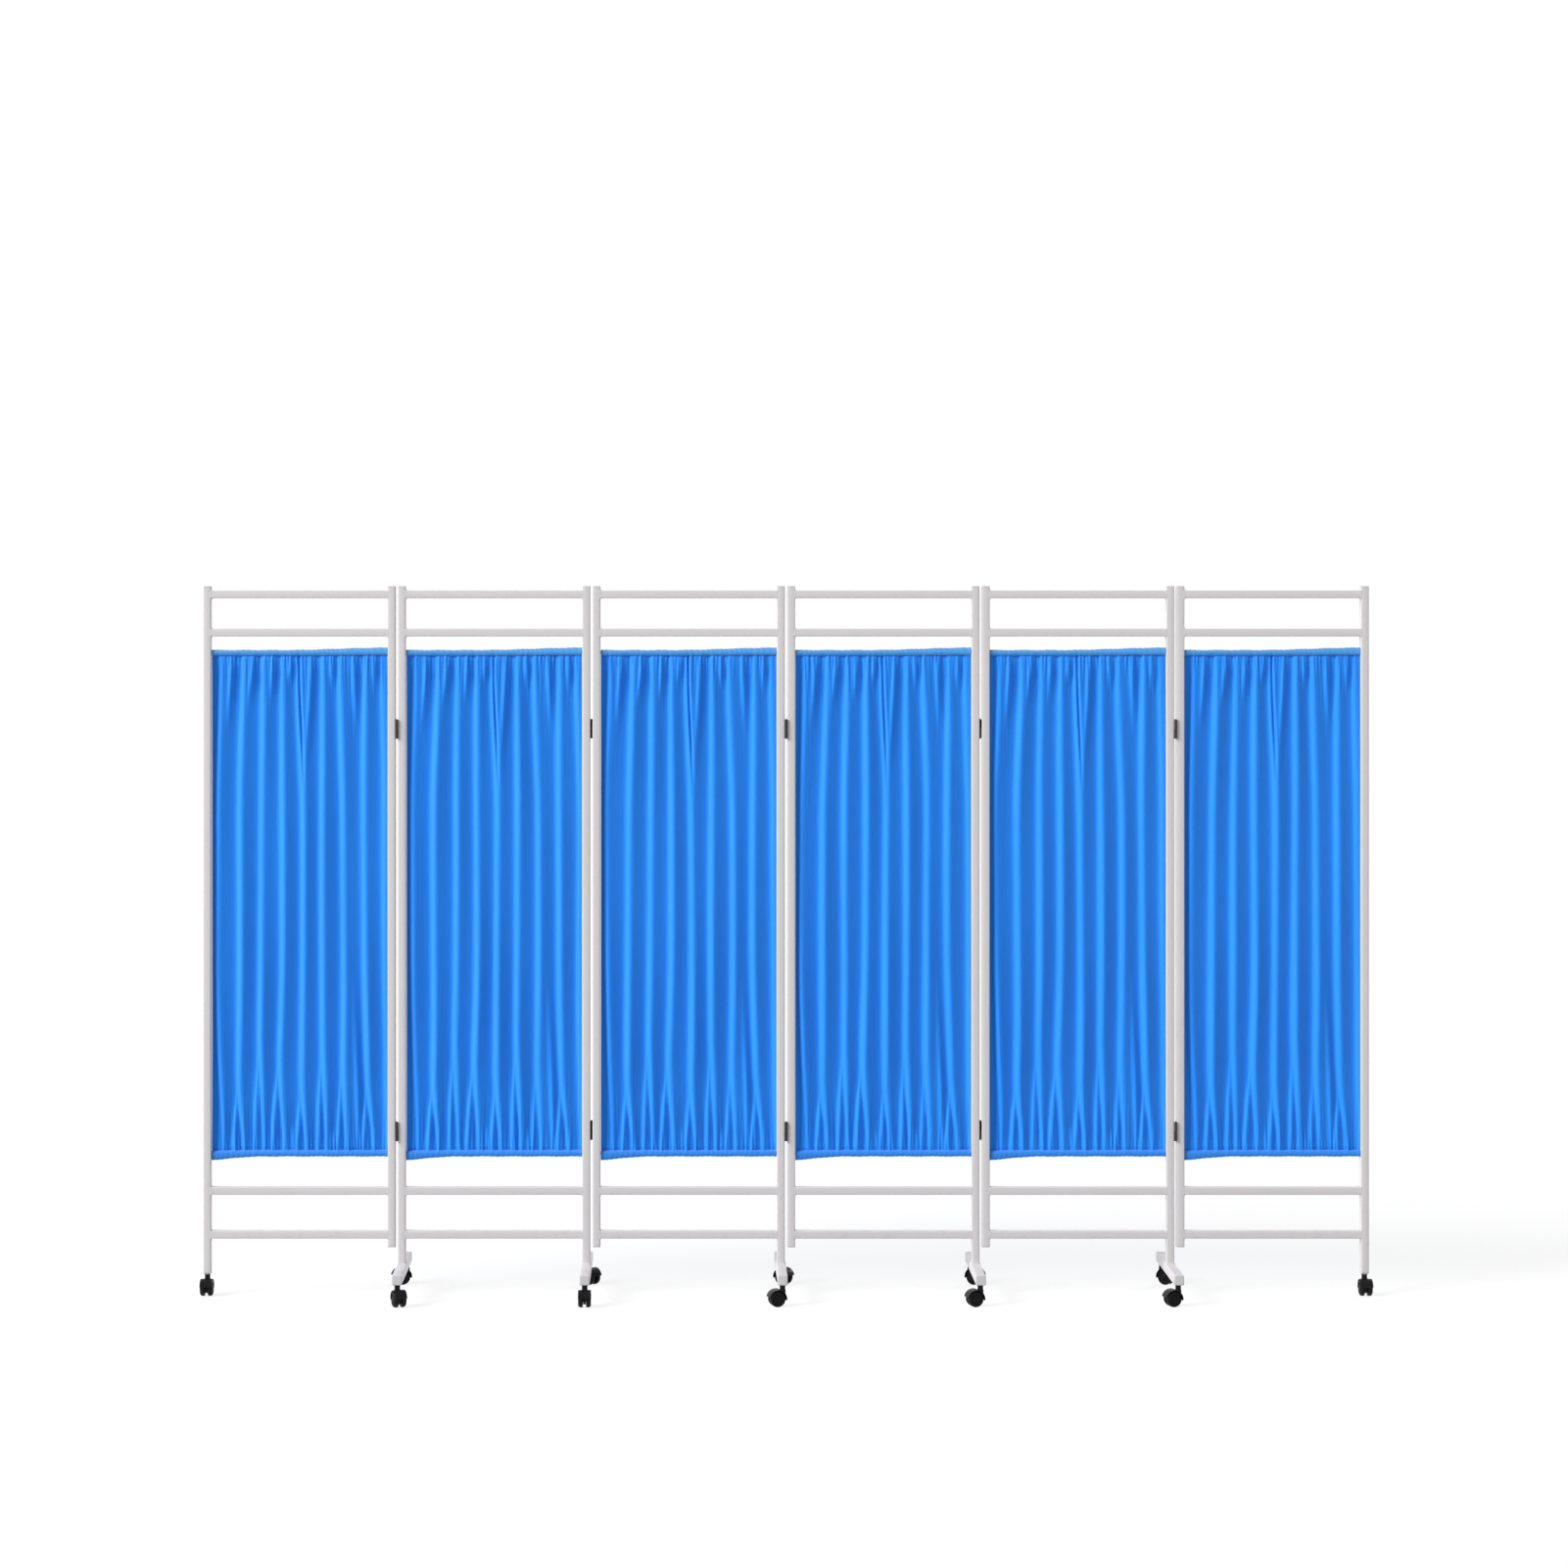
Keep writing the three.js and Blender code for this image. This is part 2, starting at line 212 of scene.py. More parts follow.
def panel_middle(panel):
    return middle(f"panel_{panel}_upper_rod").x


def rod_height(panel, place):
    return middle(f"panel_{panel}_{place}_rod").z


def outer_half():
    """Half of a panel's width over its posts."""
    return panel_middle(1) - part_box("panel_1_frame")[0].x


def inner_half():
    """Half of the clear width between a panel's posts."""
    return outer_half() - bpy.context.scene.ward_screen.frames.tube


def posts(panel):
    """Each post's side, centre and kind: on a caster, on a cross foot or short."""
    spread = (outer_half() + inner_half()) / 2
    for side in (LEFT, RIGHT):
        outermost = panel == (1 if side == LEFT else LAST_PANEL)
        on_foot = panel == 2 if side == LEFT else panel > 1
        kind = "end" if outermost else "foot" if on_foot else "short"
        yield side, panel_middle(panel) + side * spread, kind


def post_bottom(sizes, kind):
    bottoms = {
        "end": sizes.foot_bottom,
        "foot": sizes.foot_bottom + sizes.foot,
        "short": sizes.short_post,
    }
    return bottoms[kind]


def rail_heights(sizes):
    return sizes.top_rail, sizes.second_rail, sizes.third_rail, sizes.bottom_rail


# Meshes

# Faces round a turned shape.
THREAD_STEPS, BEAD_STEPS, AXLE_STEPS, ROD_STEPS, BARREL_STEPS = 5, 8, 20, 24, 28
NECK_STEPS, WEB_STEPS, HOOD_STEPS, WHEEL_STEPS = 32, 40, 44, 52
MERGE_DISTANCE, SHARP_ANGLE = 1e-6, math.radians(32)
# The least share of an edge's length that its run along an axis has, if it lies along it.
ALONG = 0.99


def as_mesh(bm, name="shape"):
    mesh = bpy.data.meshes.new(name)
    bm.to_mesh(mesh)
    bm.free()
    return mesh


def shaped(bm):
    """Makes a bmesh a clean mesh with its faces outwards."""
    bmesh.ops.remove_doubles(bm, verts=bm.verts, dist=MERGE_DISTANCE)
    bmesh.ops.recalc_face_normals(bm, faces=bm.faces)
    return as_mesh(bm)


def stamp(bm, mesh, place):
    """Adds a copy of a mesh to a bmesh at a place."""
    before = len(bm.verts)
    bm.from_mesh(mesh)
    bm.verts.ensure_lookup_table()
    bmesh.ops.transform(bm, matrix=place, verts=bm.verts[before:])


def block(bm, low, high):
    """A box between two corners."""
    low, high = Vector(low), Vector(high)
    place = Matrix.Translation((low + high) / 2) @ Matrix.Diagonal((*(high - low), 1))
    return bmesh.ops.create_cube(bm, size=1, matrix=place)["verts"]


def soften(bm, edges, offset, segments=2):
    settings = {"offset_type": "OFFSET", "profile": 0.5, "affect": "EDGES", "material": -1}
    bmesh.ops.bevel(bm, geom=list(edges), offset=offset, segments=segments, **settings)


def edges_along(bm, axis):
    """The edges that run along one axis."""
    found = []
    for edge in bm.edges:
        run = edge.verts[0].co - edge.verts[1].co
        if abs(run[axis]) > ALONG * run.length:
            found.append(edge)
    return found


def tube_bar(low, high, axis, corner):
    """A square tube's outside, with its long edges rounded."""
    bm = bmesh.new()
    block(bm, low, high)
    soften(bm, edges_along(bm, axis), corner, TUBE_SEGMENTS)
    return shaped(bm)


def mirrored(half, centre=()):
    """Half an outline, the points on its middle, and the same half turned over."""
    return [*half, *centre, *((radius, -height) for radius, height in reversed(half))]


def spun(outline, steps, turn=math.tau, closed=False):
    """An outline of (radius, height) points spun about Z."""
    bm = bmesh.new()
    verts = [bm.verts.new((radius, 0, height)) for radius, height in outline]
    ends = verts[1:] + verts[:1] if closed else verts[1:]
    edges = [bm.edges.new(pair) for pair in zip(verts, ends)]
    full = turn == math.tau
    about = {"axis": (0, 0, 1), "cent": (0, 0, 0), "angle": turn, "steps": steps}
    bmesh.ops.spin(bm, geom=verts + edges, use_merge=full, use_duplicate=False, **about)
    if not full:
        rims = [edge for edge in bm.edges if edge.is_boundary]
        bmesh.ops.holes_fill(bm, edges=rims, sides=0)
    return shaped(bm)


def piece(name, bm, material, nodes):
    """Makes a bmesh a piece that stands for CAD nodes and rides on their body."""
    return dressed(name, as_mesh(bm, name), material, nodes)


def dressed(name, mesh, material, nodes, sharp=SHARP_ANGLE):
    """Makes a mesh a piece that stands for CAD nodes and rides on their body."""
    mesh.name = name
    mesh.materials.append(material)
    mesh.shade_smooth()
    mesh.set_sharp_from_angle(angle=sharp)
    made = bpy.data.objects.new(name, mesh)
    bpy.context.scene.collection.objects.link(made)
    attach(made, BODY_OF[nodes[0]])
    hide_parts(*nodes)
    return made


def frame_piece(panel, part, bm, material):
    """Makes a bmesh a piece of one panel's frame."""
    piece(f"panel_{panel}_{part}", bm, material, [f"panel_{panel}_frame"])


# Materials


class Wire:
    """A node's output in an expression; arithmetic on it adds Math nodes."""

    def __init__(self, finish, socket):
        self.finish, self.socket = finish, socket

    def math(self, operation, *values):
        inputs = dict(enumerate(values))
        return self.finish.node("ShaderNodeMath", {"operation": operation}, inputs)

    def __add__(self, other):
        return self.math("ADD", self, other)

    def __sub__(self, other):
        return self.math("SUBTRACT", self, other)

    def __rsub__(self, other):
        return self.math("SUBTRACT", other, self)

    def __mul__(self, other):
        return self.math("MULTIPLY", self, other)

    __radd__, __rmul__ = __add__, __mul__

    def clamped(self):
        return self.math("MINIMUM", self.math("MAXIMUM", self, 0.0), 1.0)


class Finish:
    """The nodes of a material or a world, made one expression at a time."""

    def __init__(self, owner):
        owner.use_nodes = True
        self.owner, self.tree = owner, owner.node_tree
        self.tree.nodes.clear()

    def node(self, kind, settings=None, inputs=None, output=0):
        """A node: its settings first, then its sockets' values or links."""
        made = self.tree.nodes.new(kind)
        for name, value in (settings or {}).items():
            setattr(made, name, value)
        for name, value in (inputs or {}).items():
            if isinstance(value, Wire):
                self.tree.links.new(value.socket, made.inputs[name])
            else:
                made.inputs[name].default_value = value
        return Wire(self, made.outputs[output]) if made.outputs else made

    def place(self, scale=(1, 1, 1), source="Object"):
        """The piece's coordinates, stretched."""
        coordinates = self.node("ShaderNodeTexCoord", output=source)
        return self.node("ShaderNodeMapping", inputs={"Vector": coordinates, "Scale": scale})

    def grain(self, scale, detail=2.0, vector=None, roughness=0.5):
        """Noise from 0 to 1."""
        inputs = {
            "Vector": vector or self.place(),
            "Scale": scale,
            "Detail": detail,
            "Roughness": roughness,
        }
        return self.node("ShaderNodeTexNoise", inputs=inputs)

    def ramp(self, factor, low, high):
        """Factor from low to high as 0 to 1, eased."""
        settings = {"interpolation_type": "SMOOTHSTEP"}
        inputs = {"Value": factor, "From Min": low, "From Max": high}
        return self.node("ShaderNodeMapRange", settings, inputs)

    def blend(self, factor, one, other):
        """One colour where factor is 0, the other where it is 1."""
        return self.node(
            "ShaderNodeMix", {"data_type": "RGBA"}, {0: factor, 6: one, 7: other}, output=2
        )

    def bump(self, height, distance, strength=1.0, under=None):
        inputs = {"Height": height, "Distance": distance, "Strength": strength}
        if under:
            inputs["Normal"] = under
        return self.node("ShaderNodeBump", inputs=inputs)

    def surface(self, **inputs):
        """The Principled shader, with its sockets named in words joined by underscores."""
        named = {name.replace("_", " "): value for name, value in inputs.items()}
        shader = self.node("ShaderNodeBsdfPrincipled", inputs=named)
        self.output(shader)
        return self.owner

    def output(self, shader):
        self.node("ShaderNodeOutputMaterial", inputs={"Surface": shader})


def tinted(tone, factor):
    """A colour times a factor, opaque."""
    return (*(min(1.0, channel * factor) for channel in tone[:3]), 1.0)


def finishes(name, make, *values):
    """A material that is made once and shared."""
    made = bpy.data.materials.get(name)
    return made or make(Finish(bpy.data.materials.new(name)), *values)


def coat_finish(finish, tone):
    """Satin powder coat: faint orange peel, drifts of tone, and scuffs low down."""
    height = finish.node("ShaderNodeSeparateXYZ", inputs={0: finish.place()}, output=2)
    drift = finish.grain(2.3, 3)
    speckle = finish.grain(1400, 1)
    scuffed = finish.ramp(finish.grain(38, 5, roughness=0.62), 0.54, 0.72)
    low = 1 - finish.ramp(height, 0.06, 0.30)
    scuff = scuffed * (low * 0.8 + 0.05)
    base = finish.blend(drift, tinted(tone, 0.965), tinted(tone, 1.03))
    base = finish.blend(speckle * 0.5, base, tinted(tone, 0.95))
    base = finish.blend(scuff * 0.35, base, tinted(tone, 0.62))
    peel = finish.grain(620, 2)
    return finish.surface(
        Base_Color=base,
        Roughness=finish.grain(30, 2) * 0.14 + scuff * 0.15 + 0.34,
        Normal=finish.bump(peel, 0.00022, 0.5),
        Coat_Weight=0.12,
        Coat_Roughness=0.25,
    )


def plug_finish(finish, tone):
    """Moulded plastic with a fine matt grain."""
    base = finish.blend(finish.grain(60, 3), tinted(tone, 0.95), tinted(tone, 1.04))
    return finish.surface(
        Base_Color=base,
        Roughness=finish.grain(90, 2) * 0.15 + 0.46,
        Normal=finish.bump(finish.grain(1500, 1), 0.00015, 0.5),
    )


def plated_finish(finish, tone):
    """Zinc-plated drawn steel, with fine lines along the rod."""
    lines = finish.grain(1, 3, finish.place((6, 900, 900)))
    blotch = finish.grain(120, 3)
    return finish.surface(
        Base_Color=finish.blend(blotch, tinted(tone, 0.86), tinted(tone, 1.08)),
        Metallic=1.0,
        Roughness=lines * 0.2 + 0.24,
        Normal=finish.bump(lines, 0.00006, 0.6),
    )


def blackened_finish(finish, tone):
    """Blackened hinge steel, rubbed a little brighter in places."""
    rubbed = finish.ramp(finish.grain(240, 4, roughness=0.6), 0.55, 0.75)
    return finish.surface(
        Base_Color=finish.blend(rubbed * 0.5, tinted(tone, 1.0), tinted(tone, 3.0)),
        Metallic=rubbed * 0.5,
        Roughness=0.50 - rubbed * 0.18,
        Specular_IOR_Level=0.3,
        Normal=finish.bump(finish.grain(900, 2), 0.00008, 0.6),
    )


def hood_finish(finish, tone):
    """Glossy moulded plastic with fine scratches and a little dust."""
    dust = finish.ramp(finish.grain(55, 5, roughness=0.6), 0.48, 0.80)
    scratch = finish.grain(1, 2, finish.place((900, 40, 500)))
    return finish.surface(
        Base_Color=finish.blend(dust * 0.25, tinted(tone, 1.0), tinted(tone, 4.0)),
        Roughness=dust * 0.22 + scratch * 0.08 + 0.20,
        Normal=finish.bump(scratch, 0.00005, 0.5),
        Specular_IOR_Level=0.12,
    )


def wheel_finish(finish, tone):
    """Matt moulded wheels whose treads have picked up floor dust."""
    tread = finish.node("ShaderNodeAttribute", {"attribute_name": "tread"}, output="Fac")
    grime = finish.ramp(finish.grain(140, 5, roughness=0.65), 0.35, 0.75)
    dusty = (tread * 0.55 + 0.08) * grime
    return finish.surface(
        Base_Color=finish.blend(dusty, tinted(tone, 1.0), tinted(tone, 5.0)),
        Roughness=dusty * 0.3 + 0.36,
        Normal=finish.bump(finish.grain(800, 3), 0.00012, 0.6),
        Specular_IOR_Level=0.10,
    )


# Colours painted on the rod pockets: a painted highlight that lightens the upper pocket where its
# top faces the light, and a darker tone on the lower pocket; how far they are mixed in, and where
# the pockets start, in shares of the cloth's length from its middle.
UPPER_POCKET_HIGHLIGHT, LOWER_POCKET_DARKER = (0.23, 0.54, 0.32, 1.0), (0.09, 0.20, 0.21, 1.0)
POCKET_TONE_SHARE, POCKET_EDGE = 0.25, (0.470, 0.474)
# The sewing thread's tone, as a share of the cloth's: darker, partly the thread's own colour and
# partly painted shade of the seam's groove.
THREAD_TONE_AND_SHADE = 0.6


def cloth_finish(finish, tone, sheen, thread_count):
    """Plain-woven polyester: warp and weft threads, slubs, a painted highlight on the upper hem, a
    darker lower hem and a soft sheen.
    """
    across, down = thread_count
    woven = finish.place((across, down, 1), "UV")
    warp = finish.node("ShaderNodeSeparateXYZ", inputs={0: woven}, output=0)
    weft = finish.node("ShaderNodeSeparateXYZ", inputs={0: woven}, output=1)
    ridge = warp.math("SINE", warp * math.tau) * 0.5 + weft.math("SINE", weft * math.tau) * 0.5
    slub = finish.grain(1, 3, finish.place((across * 0.5, down * 0.02, 1), "UV"))
    drift = finish.grain(3, 4, finish.place((1, 1, 0.6)))
    crease = finish.grain(1, 4, finish.place((70, 70, 9)), 0.55)
    base = finish.blend(drift, tinted(tone, 0.93), tinted(tone, 1.07))
    base = finish.blend(slub * 0.35, base, tinted(tone, 0.82))
    along = finish.node("ShaderNodeSeparateXYZ", inputs={0: finish.place(source="UV")}, output=1)
    in_pocket = finish.ramp(along.math("ABSOLUTE", along - 0.5), *POCKET_EDGE)
    # The pockets' tones: a painted highlight on the upper pocket, and a darker lower pocket.
    pocket_tones = finish.blend(finish.ramp(along, 0.4, 0.6), LOWER_POCKET_DARKER, UPPER_POCKET_HIGHLIGHT)
    base = finish.blend(in_pocket * POCKET_TONE_SHARE, base, pocket_tones)
    woven_normal = finish.bump(ridge + slub * 0.8, 0.00018, 0.35)
    return finish.surface(
        Base_Color=base,
        Roughness=slub * 0.12 + 0.46,
        Normal=finish.bump(crease, 0.0009, 0.30, woven_normal),
        Specular_IOR_Level=0.18,
        Sheen_Weight=0.95,
        Sheen_Roughness=0.46,
        Sheen_Tint=(*sheen, 1.0),
    )


def thread_finish(finish, tone):
    """Sewing thread, a twist of two plies."""
    twist = finish.grain(1, 1, finish.place((2600, 900, 900)))
    return finish.surface(
        Base_Color=finish.blend(twist, tinted(tone, 0.75), tinted(tone, 1.25)),
        Roughness=twist * 0.1 + 0.55,
        Normal=finish.bump(twist, 0.0001, 0.6),
    )


# Frames: posts, rails and cross feet

# How far a rail's ends run into its posts, and the faces round a tube's and a plug's corner.
RAIL_SUNK = 0.001
TUBE_SEGMENTS, PLUG_SEGMENTS = 4, 5
# How a plug's crown steps in, in shares of the tube's corner, and up, in shares of the plug.
PLUG_CROWN = ((0.08, 0.20), (0.16, 0.13), (0.28, 0.09), (0.36, 0.03))
# A plug's flange as a share of the plug, the seam between it and the tube, how far the stub
# runs up into the flange, and how far the stub's sides lie inside the tube's.
PLUG_FLANGE, PLUG_GAP, STUB_LAP, STUB_INSET = 0.55, 0.00025, 0.0005, 0.0013


class WARD_OT_tubes(Operator):
    """Build each frame's posts, rails and cross feet"""

    bl_idname = "ward_screen.tubes"
    bl_label = "Tubes"

    def execute(self, context):
        screen = context.scene.ward_screen
        sizes = screen.frames
        coat = finishes("powder_coat", coat_finish, screen.colours.coat)
        for panel in PANELS:
            bm = bmesh.new()
            self.add_rails(bm, sizes, panel)
            for _, x, kind in posts(panel):
                self.add_post(bm, sizes, x, kind)
            frame_piece(panel, "tubes", bm, coat)
        return {"FINISHED"}

    def add_rails(self, bm, sizes, panel):
        half = sizes.tube / 2
        reach = inner_half() + RAIL_SUNK
        x = panel_middle(panel)
        for z in rail_heights(sizes):
            low, high = (x - reach, -half, z - half), (x + reach, half, z + half)
            stamp(bm, tube_bar(low, high, 0, sizes.tube_corner), Matrix())

    def add_post(self, bm, sizes, x, kind):
        half = sizes.tube / 2
        bottom = post_bottom(sizes, kind)
        if kind != "foot":
            bottom += sizes.plug
        low, high = (x - half, -half, bottom), (x + half, half, sizes.height - sizes.plug)
        stamp(bm, tube_bar(low, high, 2, sizes.tube_corner), Matrix())
        if kind != "foot":
            return
        half, reach = sizes.foot / 2, sizes.foot_length / 2 - sizes.plug
        low = (x - half, -reach, sizes.foot_bottom)
        high = (x + half, reach, sizes.foot_bottom + sizes.foot)
        stamp(bm, tube_bar(low, high, 1, sizes.foot_corner), Matrix())


class WARD_OT_plugs(Operator):
    """Build the plastic plugs in the open tube ends"""

    bl_idname = "ward_screen.plugs"
    bl_label = "Plugs"

    def execute(self, context):
        screen = context.scene.ward_screen
        sizes = screen.frames
        plastic = finishes("plug_plastic", plug_finish, screen.colours.plug)
        tube_plug = self.plug(sizes, sizes.tube, sizes.tube_corner)
        foot_plug = self.plug(sizes, sizes.foot, sizes.foot_corner)
        for panel in PANELS:
            bm = bmesh.new()
            for _, x, kind in posts(panel):
                top = Vector((x, 0, sizes.height - sizes.plug))
                stamp(bm, tube_plug, Matrix.Translation(top))
                if kind == "foot":
                    self.add_foot_plugs(bm, sizes, foot_plug, x)
                    continue
                low = Vector((x, 0, post_bottom(sizes, kind) + sizes.plug))
                stamp(bm, tube_plug, Matrix.Translation(low) @ Matrix.Rotation(math.pi, 4, "X"))
            frame_piece(panel, "plugs", bm, plastic)
        return {"FINISHED"}

    def add_foot_plugs(self, bm, sizes, plug, x):
        z = sizes.foot_bottom + sizes.foot / 2
        for face in (FRONT, BACK):
            end = Vector((x, face * (sizes.foot_length / 2 - sizes.plug), z))
            turn = Matrix.Rotation(-face * math.pi / 2, 4, "X")
            stamp(bm, plug, Matrix.Translation(end) @ turn)

    def plug(self, sizes, width, corner):
        """A plug that points up: a crowned flange, and the stub that grips the tube."""
        bm = bmesh.new()
        half = width / 2
        block(bm, (-half, -half, PLUG_GAP), (half, half, sizes.plug * PLUG_FLANGE))
        soften(bm, edges_along(bm, 2), corner, PLUG_SEGMENTS)
        top = max(bm.faces, key=lambda face: face.calc_center_median().z)
        for inset, rise in PLUG_CROWN:
            inset, rise = corner * inset, sizes.plug * rise
            bmesh.ops.inset_region(bm, faces=[top], thickness=inset, depth=rise)
        stub = half - STUB_INSET
        block(bm, (-stub, -stub, -sizes.plug_depth), (stub, stub, STUB_LAP))
        return shaped(bm)


# A weld bead's ripples and how deep they are, its rings of faces, the share of its length
# over which each end tapers, and its radius between ripples.
RIPPLES, RIPPLE_DEPTH, BEAD_RINGS, BEAD_TAPER, BEAD_RADIUS = 9, 0.10, 36, 0.06, 0.92
# On a rail's face a bead is dressed: how far it sinks in and how much it is flattened.
DRESSED_SUNK, DRESSED_FLAT = 0.18, 0.38


def weld_bead():
    """A rippled bead along Z, one unit long and about one unit in radius."""
    outline = []
    for ring in range(BEAD_RINGS + 1):
        share = ring / BEAD_RINGS
        swell = math.sin(math.pi * min(share, 1 - share, BEAD_TAPER) / (2 * BEAD_TAPER))
        ripple = 1 + RIPPLE_DEPTH * abs(math.sin(math.pi * RIPPLES * share))
        outline.append((swell * ripple * BEAD_RADIUS, share - 0.5))
    return spun(outline, BEAD_STEPS)


class WARD_OT_welds(Operator):
    """Build the weld beads where rails meet posts and posts meet feet"""

    bl_idname = "ward_screen.welds"
    bl_label = "Welds"

    def execute(self, context):
        screen = context.scene.ward_screen
        sizes = screen.frames
        coat = finishes("powder_coat", coat_finish, screen.colours.coat)
        bead = weld_bead()
        for panel in PANELS:
            bm = bmesh.new()
            for side, x, kind in posts(panel):
                for z in rail_heights(sizes):
                    self.add_rail_weld(bm, sizes, bead, x - side * sizes.tube / 2, z)
                if kind == "foot":
                    self.add_foot_weld(bm, sizes, bead, x)
            frame_piece(panel, "welds", bm, coat)
        return {"FINISHED"}

    def add_rail_weld(self, bm, sizes, bead, x, z):
        """Fillets over and under the rail, and dressed beads on its two faces."""
        half, radius = sizes.tube / 2, sizes.bead
        for level in (-1, 1):
            place = Matrix.Translation((x, 0, z + level * half))
            turn = Matrix.Rotation(math.pi / 2, 4, "X")
            size = Matrix.Diagonal((radius, radius, sizes.tube - sizes.tube_corner, 1))
            stamp(bm, bead, place @ turn @ size)
        for face in (FRONT, BACK):
            place = Matrix.Translation((x, face * (half - radius * DRESSED_SUNK), z))
            size = Matrix.Diagonal((radius, radius * DRESSED_FLAT, sizes.tube, 1))
            stamp(bm, bead, place @ size)

    def add_foot_weld(self, bm, sizes, bead, x):
        """A fillet along each side of the post where it stands on its foot."""
        half, radius = sizes.tube / 2, sizes.bead
        z = sizes.foot_bottom + sizes.foot
        for quarter in range(4):
            turn = Matrix.Rotation(quarter * math.pi / 2, 4, "Z")
            out = Matrix.Translation((half, 0, 0)) @ Matrix.Rotation(math.pi / 2, 4, "X")
            size = Matrix.Diagonal((radius, radius, sizes.tube, 1))
            stamp(bm, bead, Matrix.Translation((x, 0, z)) @ turn @ out @ size)


# Hinges and rods

# A pin's foot and its domed head: radius as a share of the pin's or the head's, and height.
PIN_FOOT = ((0.0, -0.0006), (0.7, -0.0005), (1.0, 0.0))
PIN_DOME = ((1.0, 0.0), (1.0, 0.0005), (0.82, 0.0011), (0.45, 0.0014), (0.0, 0.0015))
# The pin's play in its barrel, and how far the ends of barrels and rods are rounded.
PIN_PLAY, BARREL_ROUND, ROD_ROUND = 0.0002, 0.0003, 0.0006
# How far a leaf sinks into its post, its rounding as a share of its thickness, and its weld's
# length as a share of its own.
LEAF_SUNK, LEAF_ROUND, LEAF_WELD = 0.0005, 0.3, 0.86


class WARD_OT_hinges(Operator):
    """Build the barrels and leaves of the weld-on hinges, and their pins"""

    bl_idname = "ward_screen.hinges"
    bl_label = "Hinges"

    def execute(self, context):
        screen = context.scene.ward_screen
        sizes = screen.hinges
        steel = finishes("blackened_steel", blackened_finish, screen.colours.hinge)
        leaves = {panel: bmesh.new() for panel in PANELS}
        for junction in range(1, LAST_PANEL):
            pins = bmesh.new()
            nodes = [f"hinge_{junction}_{place}_pin" for place in ("upper", "lower")]
            carrier = BODY_OF[nodes[0]]
            for node in nodes:
                axis = Vector(JOINTS[f"fold_{junction}"]["pos_m"])
                axis.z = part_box(node)[0].z
                stamp(pins, self.pin(sizes), Matrix.Translation(axis))
                for panel in (junction, junction + 1):
                    lower = carrier == f"panel_{panel}"
                    side = RIGHT if panel == junction else LEFT
                    self.add_half(leaves[panel], sizes, axis, side, lower)
            piece(f"hinge_{junction}_pins", pins, steel, nodes)
        for panel, bm in leaves.items():
            frame_piece(panel, "hinge_leaves", bm, steel)
        return {"FINISHED"}

    def pin(self, sizes):
        """A pin from its foot at 0 to its domed head."""
        seat = sizes.height + sizes.gap
        outline = [(sizes.pin * share, height) for share, height in PIN_FOOT]
        outline += [(sizes.pin, seat)]
        outline += [(sizes.head * share, seat + height) for share, height in PIN_DOME]
        return spun(outline, AXLE_STEPS)

    def add_half(self, bm, sizes, axis, side, lower):
        """One frame's barrel and the leaf welded to its post."""
        half, play = sizes.height / 2, sizes.gap / 2
        low, high = (0, half - play) if lower else (half + play, sizes.height)
        inner, outer, rim = sizes.pin + PIN_PLAY, sizes.barrel, BARREL_ROUND
        outline = [(inner, low), (outer - rim, low), (outer, low + rim)]
        outline += [(outer, high - rim), (outer - rim, high), (inner, high)]
        stamp(bm, spun(outline, BARREL_STEPS, closed=True), Matrix.Translation(axis))
        face = math.copysign(1, axis.y)
        gap = panel_middle(2) - panel_middle(1) - 2 * outer_half()
        flat = bmesh.new()
        near = (axis.x - side * (gap / 2 + LEAF_SUNK), axis.y, axis.z + low)
        far_y = axis.y - face * sizes.leaf_depth
        far = (axis.x - side * (gap / 2 - sizes.leaf), far_y, axis.z + high)
        block(flat, *([end(pair) for pair in zip(near, far)] for end in (min, max)))
        soften(flat, flat.edges, sizes.leaf * LEAF_ROUND)
        stamp(bm, shaped(flat), Matrix())
        seam = Matrix.Translation((near[0], far_y, axis.z + (low + high) / 2))
        radius = bpy.context.scene.ward_screen.frames.bead / 2
        size = Matrix.Diagonal((radius, radius, (high - low) * LEAF_WELD, 1))
        stamp(bm, weld_bead(), seam @ size)


class WARD_OT_rods(Operator):
    """Build the curtain rods"""

    bl_idname = "ward_screen.rods"
    bl_label = "Rods"

    def execute(self, context):
        screen = context.scene.ward_screen
        radius = screen.curtains.rod
        steel = finishes("plated_steel", plated_finish, screen.colours.rod)
        for panel in PANELS:
            for place in ("upper", "lower"):
                node = f"panel_{panel}_{place}_rod"
                low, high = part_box(node)
                half = (high.x - low.x) / 2
                end = [(0, -half), (radius - ROD_ROUND, -half), (radius, ROD_ROUND - half)]
                turn = Matrix.Rotation(math.pi / 2, 4, "Y")
                bm = bmesh.new()
                rod = spun(mirrored(end), ROD_STEPS)
                stamp(bm, rod, Matrix.Translation(middle(node)) @ turn)
                piece(f"{node}_steel", bm, steel, [node])
        return {"FINISHED"}


# Curtains

# Each pleat's place at the top, the middle and the bottom, as a share of the width, how far
# it stands out, and how far its halves part at the bottom hem.
PLEATS = (
    (0.046, 0.022, 0.050, 0.90, 0.012),
    (0.176, 0.154, 0.148, 1.00, 0.029),
    (0.288, 0.278, 0.266, 0.92, 0.027),
    (0.398, 0.396, 0.374, 1.00, 0.035),
    (0.484, 0.513, 0.508, 0.98, 0.025),
    (0.626, 0.627, 0.624, 1.00, 0.025),
    (0.722, 0.746, 0.738, 0.90, 0.024),
    (0.868, 0.864, 0.888, 0.96, 0.030),
    (0.962, 0.982, 0.985, 0.70, 0.008),
)
